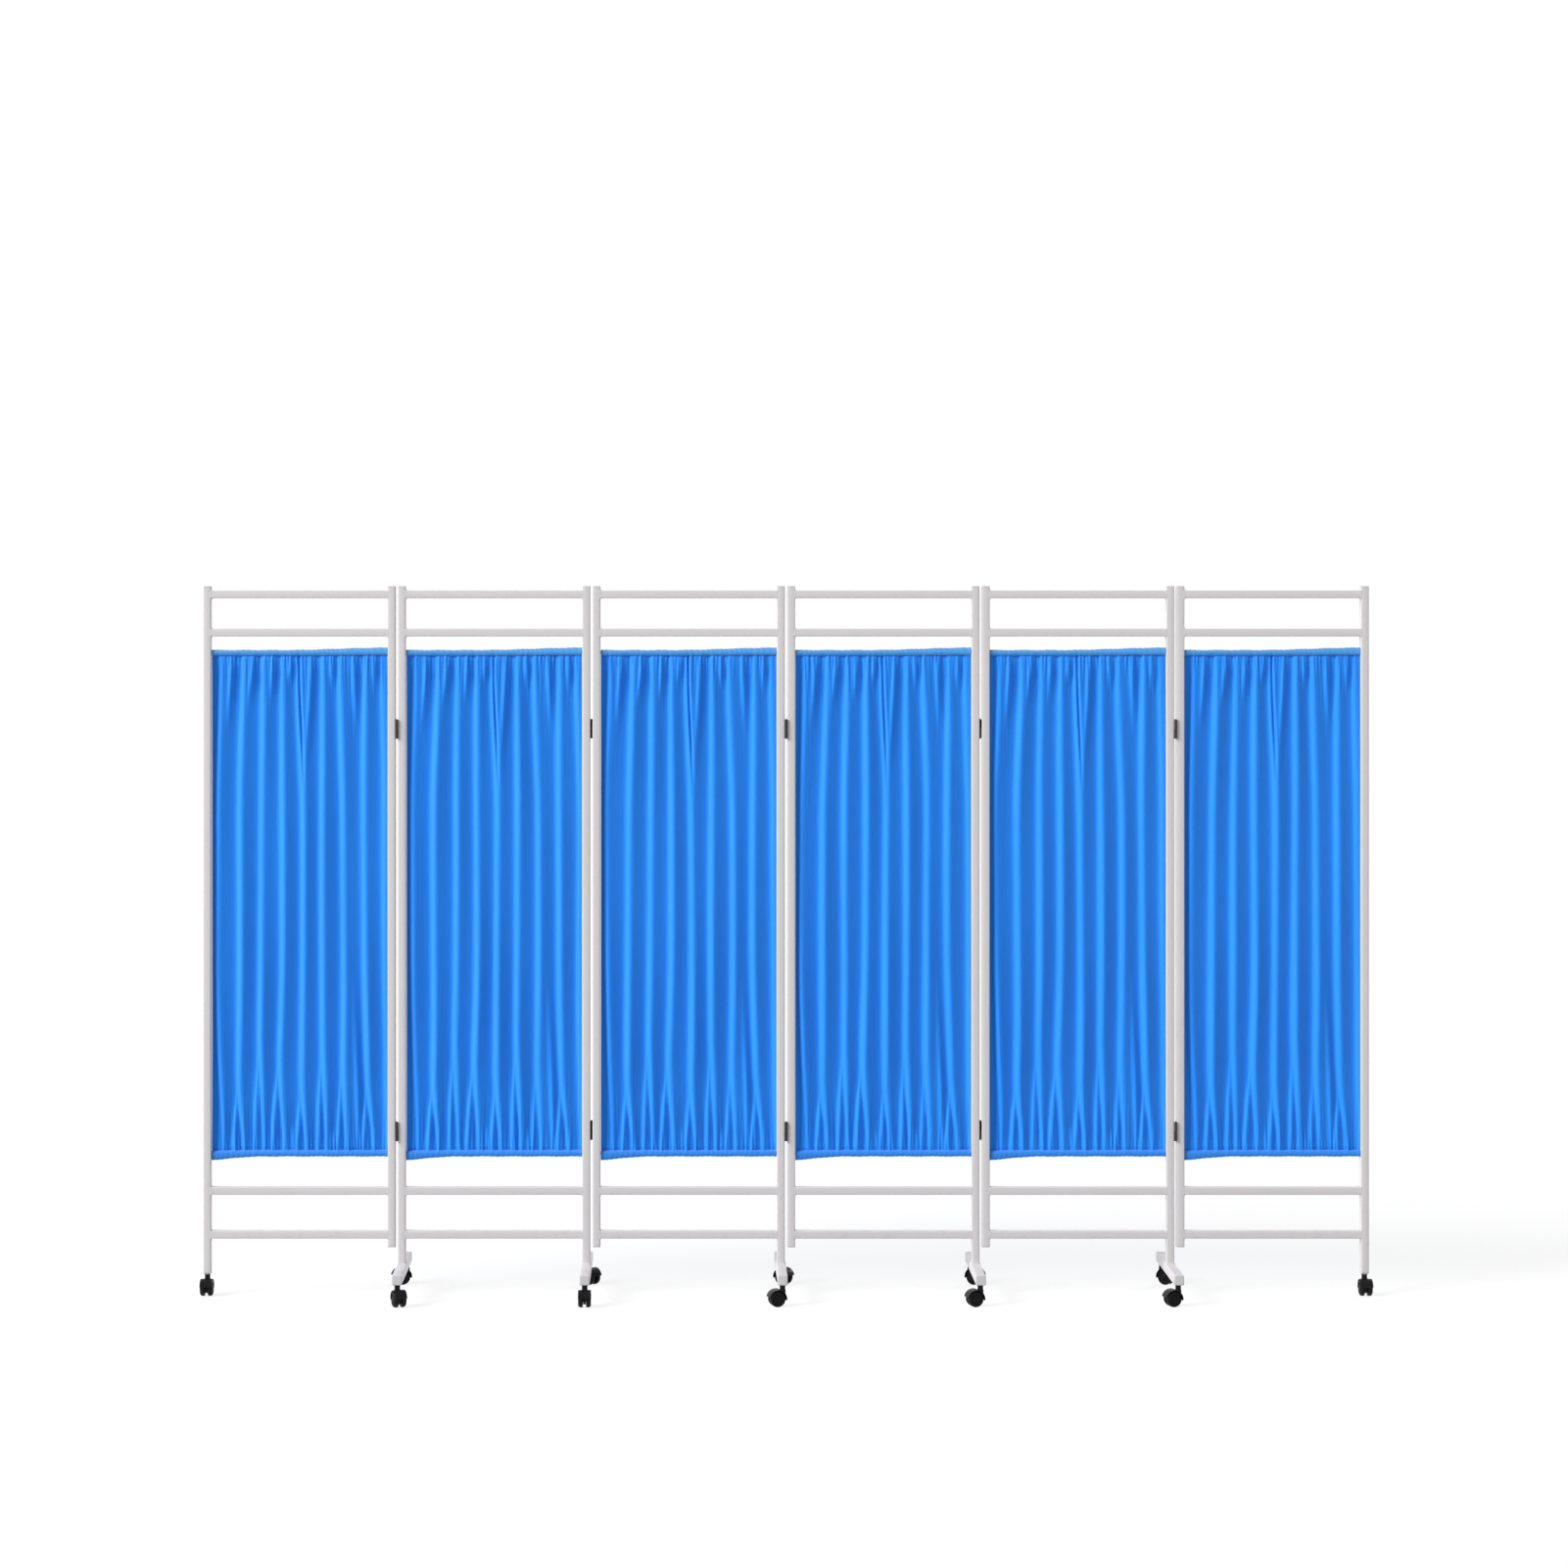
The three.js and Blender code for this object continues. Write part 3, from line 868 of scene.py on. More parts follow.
# Short gathers: place at the hem, place where they fade, and how far they reach from the hem.
UPPER_GATHERS = (
    (0.104, 0.085, 0.17),
    (0.224, 0.205, 0.12),
    (0.338, 0.330, 0.11),
    (0.440, 0.436, 0.07),
    (0.556, 0.528, 0.27),
    (0.674, 0.680, 0.08),
    (0.800, 0.815, 0.18),
    (0.915, 0.918, 0.09),
)
LOWER_GATHERS = ((0.828, 0.802, 0.40), (0.460, 0.455, 0.06), (0.690, 0.686, 0.05))
# A long crease beside the middle pleat: its place at the hem, where it fades, and its reach.
CREASE = (0.497, 0.524, 0.30)
# Its width and depth, and the share of its reach at which it begins to fade.
CREASE_WIDTH, CREASE_DEPTH, CREASE_FADES = 0.0075, 0.46, 0.4
# From the upper seam (0) to the lower (1): how deep the pleats are, and how much of the
# width a pleat takes to rise.
PLEAT_DEPTHS = (
    (0.0, 0.43), (0.05, 0.87), (0.16, 1.0), (0.45, 1.0), (0.75, 1.24), (0.80, 1.24),
    (0.92, 0.94), (0.965, 0.94), (1.0, 0.60),
)
PLEAT_RISES = ((0.0, 0.0092), (0.13, 0.0160), (0.82, 0.0160), (1.0, 0.0092))
# How far past the outer pleats the next ones would stand, the least width that a pleat falls
# away in, and how hollow it falls.
PLEAT_SPACING, LEAST_WIDTH, PLEAT_HOLLOW = 0.118, 0.01, 1.4
# Where a pleat keeps to its middle place, how far it drifts to its sides, in how many waves,
# and how far from a seam it does so fully.
PLEAT_MIDDLE, PLEAT_DRIFT, DRIFT_WAVES, DRIFT_FREE = (0.34, 0.58), 0.004, 0.9, 0.3
# How much a pleat's height varies, and in how many waves.
PLEAT_VARIES, VARIED_WAVES = 0.10, 1.4
# Where its halves begin to part, how much and how fast that differs from pleat to pleat, and
# the parting at which they are two pleats.
PARTS_FROM, PARTS_VARY, VARY_RATE, PARTED = 0.80, 0.05, 2.1, 0.020
# The width a gather takes to rise, the least factor on it, and what the gather's reach adds to
# that; then the width it takes to fall away, and the share of it that lies before its place.
GATHER_RISE, SHORT_RISE, LONG_RISE = 0.0092, 0.8, 1.2
GATHER_FALL, FALL_LEAD = 0.046, 0.2
# How deep a gather is, how much of it there is at the hem itself, how far from the hem all of
# it is there, and the share of its reach at which it begins to fade.
GATHER_DEPTH, GATHER_AT_HEM, GATHER_FULL, GATHER_FADES = 0.60, 0.45, 0.04, 0.15
# How many fine wrinkles there are, their waves across the width and along the drop, their
# depth by the seams and elsewhere, and how far from each seam the deep ones reach.
WRINKLE_COUNT, WRINKLE_WAVES, WRINKLE_SLANT = 9, (24, 62), 9
WRINKLE_DEPTHS, WRINKLE_REACHES = (0.16, 0.012), (0.035, 0.045)


def eased(value, low, high):
    """Value from low to high as 0 to 1, with level ends."""
    share = np.clip((value - low) / (high - low), 0, 1)
    return share * share * (3 - 2 * share)


def tooth(share, start, end, rise):
    """A pleat's cross-section: up over a short rise at its start, then away to its end."""
    climb = 0.5 + 0.5 * np.tanh((share - start) / rise)
    left = 1 - np.clip((share - start) / np.maximum(end - start, LEAST_WIDTH), 0, 1)
    return climb - 1 + left**PLEAT_HOLLOW


def down_curtain(fall, stops):
    """A value down the curtain, eased from each stop to the next."""
    value = np.full_like(fall, stops[0][1])
    for (low, before), (high, after) in zip(stops, stops[1:]):
        value += (after - before) * eased(fall, low, high)
    return value


def pleat_lines(fall, draw):
    """Each pleat's place, parting and height down the curtain, and one more past each side."""
    lines = []
    for number, (top, centre, bottom, strength, parting) in enumerate(PLEATS):
        phase = draw.uniform(0, math.tau)
        drift = PLEAT_DRIFT * np.sin(math.tau * DRIFT_WAVES * fall + phase)
        drift = drift * eased(fall, 0, DRIFT_FREE)
        settled, leaving = PLEAT_MIDDLE
        stops = (0, top), (settled, centre), (leaving, centre), (1, bottom)
        place = down_curtain(fall, stops)
        place += drift * (1 - eased(fall, 1 - DRIFT_FREE, 1.0))
        parts_from = PARTS_FROM + PARTS_VARY * math.sin(VARY_RATE * number)
        apart = parting * eased(fall, parts_from, 1.0)
        waves = np.sin(math.tau * VARIED_WAVES * fall + 2 * phase)
        lively = strength * (1 + PLEAT_VARIES * waves)
        lines.append((place, apart, lively))
    first, last = lines[0], lines[-1]
    return [
        (first[0] - PLEAT_SPACING, first[1], first[2]),
        *lines,
        (last[0] + PLEAT_SPACING, last[1], last[2]),
    ]


def fold_heights(share, fall, seed):
    """How far the cloth stands out, from about -0.5 to 0.5, at shares across and down."""
    draw = np.random.default_rng(seed)
    rise = down_curtain(fall, PLEAT_RISES)
    total = np.zeros_like(share)
    lines = pleat_lines(fall, draw)
    for (place, apart, lively), (next_place, next_apart, _) in zip(lines, lines[1:]):
        split = eased(apart, 0.0, PARTED)
        total += lively * split * tooth(share, place - apart, place + apart, rise)
        total += lively * tooth(share, place + apart, next_place - next_apart, rise)
    total = (total - 0.5) * down_curtain(fall, PLEAT_DEPTHS)
    for end, gathers in ((0, UPPER_GATHERS), (1, LOWER_GATHERS)):
        away = fall if end == 0 else 1 - fall
        for at_hem, at_end, reach in gathers:
            fade = 1 - eased(away, GATHER_FADES * reach, reach)
            place = at_hem + (at_end - at_hem) * eased(away, 0, reach)
            rise = GATHER_RISE * (SHORT_RISE + LONG_RISE * reach)
            shape = 0.5 + 0.5 * np.tanh((share - place) / rise)
            start = place - FALL_LEAD * GATHER_FALL
            shape = shape - eased(share, start, place + GATHER_FALL)
            full = GATHER_AT_HEM + (1 - GATHER_AT_HEM) * eased(away, 0, GATHER_FULL)
            total += GATHER_DEPTH * fade * shape * full
    at_hem, at_end, reach = CREASE
    place = at_hem + (at_end - at_hem) * eased(fall, 0, reach)
    groove = np.exp(-(((share - place) / CREASE_WIDTH) ** 2))
    total -= CREASE_DEPTH * (1 - eased(fall, CREASE_FADES * reach, reach)) * groove
    wrinkles = np.zeros_like(share)
    for _ in range(WRINKLE_COUNT):
        pitch = draw.uniform(*WRINKLE_WAVES)
        slant = draw.uniform(-WRINKLE_SLANT, WRINKLE_SLANT)
        phase = draw.uniform(0, math.tau)
        wrinkles += np.sin(math.tau * (pitch * share + slant * fall) + phase) / WRINKLE_COUNT
    by_upper, by_lower = WRINKLE_REACHES
    near_seams = np.exp(-fall / by_upper) + np.exp(-(1 - fall) / by_lower)
    by_seams, elsewhere = WRINKLE_DEPTHS
    return total + wrinkles * (by_seams * near_seams + elsewhere)


# The upper pocket's edge: its least rise, how much more it rises to the right and from where,
# and its ripples.
LEAST_RISE, RISE_MORE, RISE_FROM, RISE_RIPPLE, RISE_RIPPLES = 0.0008, 0.0062, 0.42, 0.0005, 41
# The lower pocket's edge: its least drop, how much more its left corner drops and how far
# along that goes, and its ripples.
LEAST_DROP, DROP_CORNER, CORNER_REACH, DROP_RIPPLE, DROP_RIPPLES = 0.0028, 0.0088, 0.15, 0.0004, 37


def pocket_rise(share):
    """How far the upper pocket's edge stands above its usual height, in metres."""
    more = RISE_MORE * eased(share, RISE_FROM, 1.0)
    return LEAST_RISE + more + RISE_RIPPLE * np.sin(RISE_RIPPLES * share)


def pocket_drop(share):
    """How far the lower pocket's edge hangs below its usual height, in metres."""
    corner = DROP_CORNER * np.exp(-((share / CORNER_REACH) ** 2))
    return LEAST_DROP + corner + DROP_RIPPLE * np.sin(DROP_RIPPLES * share + 1)


# The cloth's gap to each post, and the first of the panels' random seeds.
CURTAIN_GAP, FIRST_SEED = 0.001, 41
# How much of its pocket's rise or drop each seam follows.
UPPER_FOLLOWS, LOWER_FOLLOWS = 0.3, 0.2
# The dent along a seam: its depth and how far it reaches, as a share of the drop.
SEAM_DENT, SEAM_DENT_REACH = 0.0020, 0.004
# Ripples round a rod pocket: their height, how many there are across the width, and how far
# and how fast they wander.
POCKET_RIPPLE, POCKET_RIPPLES, RIPPLE_WANDER, WANDER_RATE = 0.00035, 31, 5, 9
# The powers by which a pocket closes on its seam in height and in depth, and by which it
# takes on the folds.
CLOSES_UP, CLOSES_IN, TAKES_FOLDS = 3, 0.4, 6
# The share of the cloth's rows that goes round each rod, and how much of the other rows'
# spacing is even: the rest of it crowds them to the seams.
POCKET_ROWS, EVEN_ROWS = 0.09, 0.25


class Drape:
    """The cloth of one curtain: back seam, over the upper rod, down, and round the lower rod."""

    def __init__(self, sizes, panel):
        self.sizes, self.seed = sizes, FIRST_SEED + panel - 1
        reach = inner_half() - CURTAIN_GAP
        self.left, self.width = panel_middle(panel) - reach, 2 * reach
        self.upper = rod_height(panel, "upper")
        self.lower = rod_height(panel, "lower")

    def sheet(self, share, fall):
        """Points on the hanging part, between the two seams."""
        sizes = self.sizes
        top = self.upper - sizes.upper_seam + UPPER_FOLLOWS * pocket_rise(share)
        bottom = self.lower + sizes.lower_seam - LOWER_FOLLOWS * pocket_drop(share)
        heights = fold_heights(share, fall, self.seed)
        x = self.left + self.width * share
        dent = sum(np.exp(-((away / SEAM_DENT_REACH) ** 2)) for away in (fall, 1 - fall))
        return x, SEAM_DENT * dent - 2 * sizes.fold * heights, top + (bottom - top) * fall

    def pocket(self, share, turn, upper):
        """Points round a rod: turn runs from 0 at the seam to 1 back at the seam."""
        sizes = self.sizes
        level = 1 if upper else -1
        angle = math.tau * turn
        slack = pocket_rise(share) if upper else pocket_drop(share)
        _, gather, seam_z = self.sheet(share, np.full_like(share, 0.0 if upper else 1.0))
        waves = math.tau * POCKET_RIPPLES * share + RIPPLE_WANDER * np.sin(WANDER_RATE * share)
        ripple = POCKET_RIPPLE * np.sin(waves)
        radius = sizes.pocket + ripple * np.sin(angle / 2) ** 2
        near_seam = ((1 + np.cos(angle)) / 2) ** CLOSES_UP
        centre = self.upper if upper else self.lower
        reach = radius + slack * ((1 - np.cos(angle)) / 2) ** 2
        z = centre - level * reach * np.cos(angle)
        z = z * (1 - near_seam) + near_seam * seam_z
        side = radius * np.sin(angle) * np.abs(np.sin(angle / 2)) ** CLOSES_IN
        y = (side if upper else -side) + gather * ((1 + np.cos(angle)) / 2) ** TAKES_FOLDS
        x = self.left + self.width * share
        return x, y, z

    def points(self, share, row):
        """Points for a share across and a row share from 0 to 1 along the whole cloth."""
        wrap = POCKET_ROWS
        hang = np.clip((row - wrap) / (1 - 2 * wrap), 0, 1)
        fall = EVEN_ROWS * hang + (1 - EVEN_ROWS) * (0.5 - 0.5 * np.cos(math.pi * hang))
        over = self.pocket(share, np.clip(row / wrap, 0, 1), True)
        under = self.pocket(share, np.clip((row - 1 + wrap) / wrap, 0, 1), False)
        down = self.sheet(share, fall)
        first, last = row < wrap, row > 1 - wrap
        return [np.where(first, a, np.where(last, c, b)) for a, b, c in zip(over, down, under)]


# The decimals to which the corners of one row or column of a grid agree.
GRID_DECIMALS = 6


def cloth_grid(columns, rows):
    """A flat grid's mesh, and its corners' shares across and down."""
    bm = bmesh.new()
    bmesh.ops.create_grid(bm, x_segments=columns, y_segments=rows, size=0.5)
    mesh = as_mesh(bm)
    flat = np.empty(len(mesh.vertices) * 3)
    mesh.vertices.foreach_get("co", flat)
    corners = flat.reshape(-1, 3) + 0.5
    return mesh, corners[:, 0], 1 - corners[:, 1]


def fitted(mesh, share, row, place):
    """Moves a grid's corners onto a surface and gives it UVs by length along the cloth."""
    across, along = np.round(share, GRID_DECIMALS), np.round(row, GRID_DECIMALS)
    columns = len(np.unique(across))
    order = np.lexsort((across, along))
    shape = (-1, columns)
    x, y, z = place(share[order].reshape(shape).T, row[order].reshape(shape).T)
    placed = np.stack([x.T.ravel(), y.T.ravel(), z.T.ravel()], axis=1)
    points = np.empty_like(placed)
    points[order] = placed
    mesh.vertices.foreach_set("co", points.astype(np.float32).ravel())
    middle_column = placed.reshape(-1, columns, 3)[:, columns // 2]
    steps = np.linalg.norm(np.diff(middle_column, axis=0), axis=1)
    run = np.concatenate([[0], np.cumsum(steps)]) / steps.sum()
    down = np.empty(len(share))
    down[order] = np.repeat(run, columns)
    uv = mesh.uv_layers.new(name="cloth")
    at = np.empty(len(mesh.loops), np.int32)
    mesh.loops.foreach_get("vertex_index", at)
    both = np.stack([share[at], 1 - down[at]], axis=1)
    uv.data.foreach_set("uv", both.astype(np.float32).ravel())
    mesh.update()
    return mesh


# The cloth's threads across and down.
THREADS = (460, 1090)
# A side hem's columns, how far it stops short of each seam, as a share of the drop, and how
# far it lies behind the cloth, in thicknesses.
HEM_COLUMNS, HEM_SHORT, HEM_BEHIND = 6, 0.002, 1.15
# What a stitch tapers to before its ends, in shares of its thickness and of its half length.
STITCH_TAPER = 0.8


class WARD_OT_curtains(Operator):
    """Build the gathered curtains with their pockets, side hems and stitching"""

    bl_idname = "ward_screen.curtains"
    bl_label = "Curtains"

    def execute(self, context):
        screen = context.scene.ward_screen
        sizes, colours = screen.curtains, screen.colours
        tones = colours.cloth, colours.cloth_sheen
        cloth = finishes("curtain_cloth_weave", cloth_finish, *tones, THREADS)
        # The thread's darker tone is partly its own colour and partly painted shade of the seam's
        # groove.
        thread = finishes("sewing_thread", thread_finish, tinted(colours.cloth, THREAD_TONE_AND_SHADE))
        for panel in PANELS:
            drape = Drape(sizes, panel)
            node = f"panel_{panel}_curtain"
            sheet = self.sheet(sizes, drape)
            name = f"panel_{panel}_cloth"
            sheet = dressed(name, sheet, cloth, [node], math.pi)
            thickness = sheet.modifiers.new("thickness", "SOLIDIFY")
            thickness.thickness, thickness.offset = sizes.cloth, 0
            hems = self.side_hems(sizes, drape)
            name = f"panel_{panel}_side_hems"
            hems = dressed(name, hems, cloth, [node], math.pi)
            stitches = self.stitches(sizes, drape)
            name = f"panel_{panel}_stitches"
            stitches = piece(name, stitches, thread, [node])
        return {"FINISHED"}

    def sheet(self, sizes, drape):
        mesh, share, row = cloth_grid(sizes.columns, sizes.rows)
        return fitted(mesh, share, row, drape.points)

    def side_hems(self, sizes, drape):
        """Turned edges: narrow doubled strips behind the cloth's two sides."""
        bm = bmesh.new()
        wide = sizes.side_hem / drape.width
        for start in (0.0, 1.0 - wide):
            mesh, share, row = cloth_grid(HEM_COLUMNS, sizes.rows)

            def strip(share, fall, start=start):
                fall = HEM_SHORT + (1 - 2 * HEM_SHORT) * fall
                x, y, z = drape.sheet(start + wide * share, fall)
                return x, y + sizes.cloth * HEM_BEHIND, z

            stamp(bm, fitted(mesh, share, row, strip), Matrix())
        return as_mesh(bm)

    def stitches(self, sizes, drape):
        """A row of stitches on both faces of each seam."""
        reach = sizes.stitch / 2
        end = [(0, -reach), (sizes.thread * STITCH_TAPER, -reach * STITCH_TAPER)]
        stitch = spun(mirrored(end, [(sizes.thread, 0)]), THREAD_STEPS)
        step = (sizes.stitch + sizes.stitch_gap) / drape.width
        share = np.arange(step, 1 - step, step)
        bm = bmesh.new()
        for fall in (0.0, 1.0):
            x, y, z = drape.sheet(share, np.full_like(share, fall))
            slope = np.gradient(y, x)
            for face in (FRONT, BACK):
                lift = face * (sizes.cloth * 0.5 + sizes.thread * 0.5)
                for at in zip(x, y + lift, z, slope):
                    turn = Matrix.Rotation(math.atan(at[3]), 4, "Z")
                    turn = turn @ Matrix.Rotation(math.pi / 2, 4, "Y")
                    stamp(bm, stitch, Matrix.Translation(at[:3]) @ turn)
        return bm


# Casters, drawn with the stem at the origin and the wheels trailing along +X

# Where the hood's front edge stands over the axle's level, and how far round it goes.
HOOD_START, HOOD_SWEEP = math.radians(12), math.radians(176)
# The rounding of the hood's edges, and how far its side, its shoulder and its crown's flank
# lie inside its outer radius, the flank at a share of its half width.
HOOD_ROUND, HOOD_SIDE, HOOD_SHOULDER = 0.0006, 0.0011, 0.0004
HOOD_FLANK, FLANK_SHARE = 0.0001, 0.55
# The hub's radius and rounding, and the web's rounding and its lap under the disc.
BOSS, BOSS_ROUND, WEB_ROUND, WEB_LAP = 0.006, 0.0004, 0.0005, 0.001
# The neck under its collar: radius beyond the neck's own, and height.
NECK_FLARE = ((0.0012, 0.0385), (0.0004, 0.0425), (0.0, 0.0450))
# The collar: radius beyond the neck's own, and distance below the neck's top.
NECK_COLLAR = ((0.0, 0.0022), (0.0009, 0.0016), (0.0009, 0.0006), (0.0003, 0.0))
# The room over the neck for the stem's washer.
NECK_GAP = 0.0016
# The gusset's radius at its foot, how far its top stands out past the neck, its height, the
# level of its middle, and how its foot is moved.
GUSSET_FOOT, GUSSET_LAP, GUSSET_HEIGHT, GUSSET_MIDDLE = 0.003, 0.0010, 0.013, 0.0335
GUSSET_LEAN = (-0.0052, 0, -0.001)
# How far the stem's washer stands out past the neck, and its rim from its lower edge up: inset
# from that, and distance below the seat.
WASHER_REACH = 0.0006
WASHER = ((0.0002, 0.0017), (0.0, 0.0015), (0.0, 0.0006), (0.0002, 0.0004))
# How far below the seat the stem starts, and how its top is rounded.
STEM_FOOT, STEM_ROUND = 0.0020, 0.0012
# A wheel's tread from its inner side: inset from the rim, and distance from that side.
TREAD = ((0.0020, 0.0), (0.0008, 0.0007), (0.0002, 0.0022), (0.0, 0.0044))
# Then to its outer side and into the recess: inset from the rim, and distance from that side.
SHOULDER = (
    (0.0002, 0.0050), (0.0009, 0.0029), (0.0020, 0.0013), (0.0034, 0.0004),
    (0.0043, 0.0001), (0.0049, 0.0004), (0.0054, 0.0018),
)
# The hub cap: radius, and distance from the outer side.
HUB_CAP = (
    (0.0086, 0.0022), (0.0080, 0.0008), (0.0070, 0.0002), (0.0036, 0.0), (0.0030, 0.0007),
    (0.0, 0.0009),
)
# The recess's ribs: how many, where they start, how far they stop short of the rim, half
# their width, their rounding, and their depths from the outer side.
RIBS, RIB_START, RIB_SHORT, RIB_HALF, RIB_ROUND = 6, 0.0076, 0.0048, 0.0008, 0.0004
RIB_DEPTHS = (0.0030, 0.0011)
# Dust lies on the tread from this radius out, and fully after the next distance.
TREAD_START, TREAD_FADE = 0.0180, 0.0016


def caster_place(name):
    """Where a caster's stem is and the way that its wheels trail."""
    stem = Vector(JOINTS[f"swivel_{name}"]["pos_m"])
    axle = Vector(JOINTS[f"roll_{name}"]["pos_m"])
    trail = axle - stem
    turn = Matrix.Rotation(math.atan2(trail.y, trail.x), 4, "Z")
    reach = Vector((trail.x, trail.y, 0)).length
    return Matrix.Translation((stem.x, stem.y, 0)) @ turn, reach


def axle_place(sizes, reach):
    """Turns what is spun about Z to be about the axle, with angles from +X up to +Z."""
    return Matrix.Translation((reach, 0, sizes.wheel)) @ Matrix.Rotation(math.pi / 2, 4, "X")


class WARD_OT_caster_hoods(Operator):
    """Build the casters' hoods, necks and stems"""

    bl_idname = "ward_screen.caster_hoods"
    bl_label = "Caster Hoods"

    def execute(self, context):
        screen = context.scene.ward_screen
        sizes = screen.casters
        plastic = finishes("hood_plastic", hood_finish, screen.colours.plastic)
        steel = finishes("plated_steel", plated_finish, screen.colours.rod)
        reach = caster_place(CASTERS[0])[1]
        hood, stem = self.hood(sizes, reach), self.stem(sizes)
        for name in CASTERS:
            place = caster_place(name)[0]
            node = f"caster_{name}_housing"
            for part, shape, finish, slot in (
                ("hood", hood, plastic, "caster_housing"),
                ("stem", stem, steel, "rod_steel"),
            ):
                bm = bmesh.new()
                stamp(bm, shape, place)
                piece(f"caster_{name}_{part}", bm, finish, [node])
        return {"FINISHED"}

    def hood(self, sizes, reach):
        """The crowned hood, the web between the wheels, the hub, and the neck."""
        bm = bmesh.new()
        about = axle_place(sizes, reach)
        over = about @ Matrix.Rotation(HOOD_START, 4, "Z")
        half = sizes.spacing / 2 + sizes.wheel_width
        inner, outer = sizes.hood_inside, sizes.hood_outside
        shell = [(inner, HOOD_ROUND - half), (inner + HOOD_ROUND, -half)]
        shell += [(outer - HOOD_SIDE, -half), (outer - HOOD_SHOULDER, HOOD_ROUND - half)]
        shell += [(outer - HOOD_FLANK, -half * FLANK_SHARE)]
        shell = mirrored(shell, [(outer, 0)])
        stamp(bm, spun(shell, HOOD_STEPS, HOOD_SWEEP, closed=True), over)
        web, rim, bore = sizes.web_width / 2, sizes.web, sizes.axle + sizes.play
        plate = mirrored([(rim - WEB_LAP, -web), (inner + WEB_ROUND, -web)])
        stamp(bm, spun(plate, HOOD_STEPS, HOOD_SWEEP, closed=True), over)
        disc = mirrored([(bore, -web), (rim - WEB_ROUND, -web), (rim, WEB_ROUND - web)])
        stamp(bm, spun(disc, WEB_STEPS, closed=True), about)
        hub = sizes.spacing / 2 - sizes.play
        boss = [(bore, -hub), (BOSS - BOSS_ROUND, -hub), (BOSS, BOSS_ROUND - hub)]
        stamp(bm, spun(mirrored(boss), BARREL_STEPS, closed=True), about)
        neck, top = sizes.neck, sizes.height - NECK_GAP
        column = [(0, NECK_FLARE[0][1]), *((neck + flare, z) for flare, z in NECK_FLARE)]
        column += [(neck + flare, top - drop) for flare, drop in NECK_COLLAR]
        stamp(bm, spun([*column, (0, top)], NECK_STEPS), Matrix())
        stamp(bm, self.gusset(neck), Matrix())
        return shaped(bm)

    def gusset(self, neck):
        """The rib that carries the neck down into the web, behind the wheels."""
        bm = bmesh.new()
        bmesh.ops.create_cone(
            bm,
            cap_ends=True,
            segments=BARREL_STEPS,
            radius1=GUSSET_FOOT,
            radius2=neck + GUSSET_LAP,
            depth=GUSSET_HEIGHT,
            matrix=Matrix.Translation((0, 0, GUSSET_MIDDLE)),
        )
        low = [vert for vert in bm.verts if vert.co.z < GUSSET_MIDDLE]
        bmesh.ops.translate(bm, vec=GUSSET_LEAN, verts=low)
        return shaped(bm)

    def stem(self, sizes):
        """The plated stem with its washer, from the neck up into the tube."""
        radius, seat = sizes.stem, sizes.height
        washer = sizes.neck + WASHER_REACH
        top = seat + sizes.stem_length
        outline = [(0, seat - STEM_FOOT)]
        outline += [(washer - inset, seat - drop) for inset, drop in WASHER]
        outline += [(radius, seat - WASHER[-1][1]), (radius, top - STEM_ROUND)]
        outline += [(radius - STEM_ROUND, top), (0, top)]
        return spun(outline, BARREL_STEPS)


class WARD_OT_caster_wheels(Operator):
    """Build each caster's two wheels and their axle"""

    bl_idname = "ward_screen.caster_wheels"
    bl_label = "Caster Wheels"

    def execute(self, context):
        screen = context.scene.ward_screen
        sizes = screen.casters
        moulded = finishes("wheel_moulding", wheel_finish, screen.colours.rubber)
        for name in CASTERS:
            place, reach = caster_place(name)
            bm = bmesh.new()
            for face in (FRONT, BACK):
                stamp(bm, self.wheel(sizes, face), Matrix())
            stamp(bm, self.axle(sizes), Matrix())
            tread = bm.verts.layers.float.new("tread")
            for vert in bm.verts:
                radius = Vector((vert.co.x, vert.co.y)).length
                vert[tread] = min(1.0, max(0.0, (radius - TREAD_START) / TREAD_FADE))
            bmesh.ops.transform(bm, matrix=place @ axle_place(sizes, reach), verts=bm.verts)
            node = f"caster_{name}_wheels"
            piece(f"caster_{name}_twin_wheels", bm, moulded, [node])
        return {"FINISHED"}

    def axle(self, sizes):
        """The pin that joins the two wheels through the web."""
        half = sizes.spacing / 2 + sizes.play
        return spun(mirrored([(0, -half), (sizes.axle, -half)]), AXLE_STEPS)

    def wheel(self, sizes, face):
        """One wheel about Z: crowned tread, raised rim, ribbed recess and hub cap."""
        rim, inner = sizes.wheel, sizes.spacing / 2
        outer = inner + sizes.wheel_width
        outline = [(0, inner), *((rim - inset, inner + away) for inset, away in TREAD)]
        outline += [(rim - inset, outer - away) for inset, away in SHOULDER]
        outline += [(radius, outer - away) for radius, away in HUB_CAP]
        bm = bmesh.new()
        stamp(bm, spun(outline, WHEEL_STEPS), Matrix())
        low, high = (outer - depth for depth in RIB_DEPTHS)
        for number in range(RIBS):
            rib = bmesh.new()
            block(rib, (RIB_START, -RIB_HALF, low), (rim - RIB_SHORT, RIB_HALF, high))
            soften(rib, edges_along(rib, 0), RIB_ROUND)
            stamp(bm, shaped(rib), Matrix.Rotation(math.tau * number / RIBS, 4, "Z"))
        if face == FRONT:
            bmesh.ops.rotate(bm, matrix=Matrix.Rotation(math.pi, 3, "X"), verts=bm.verts)
        return shaped(bm)


# Stage

# Where the lamps point, and each lamp's place and width.
AIM = Vector((0.1, 0, 0.95))
LAMPS = {
    "key": ((-24.2, -12.6, 16.5), 17.0),
    "fill": ((5.0, -9.0, 3.5), 4.0),
    "rear": ((7.0, 7.0, 4.5), 3.5),
}
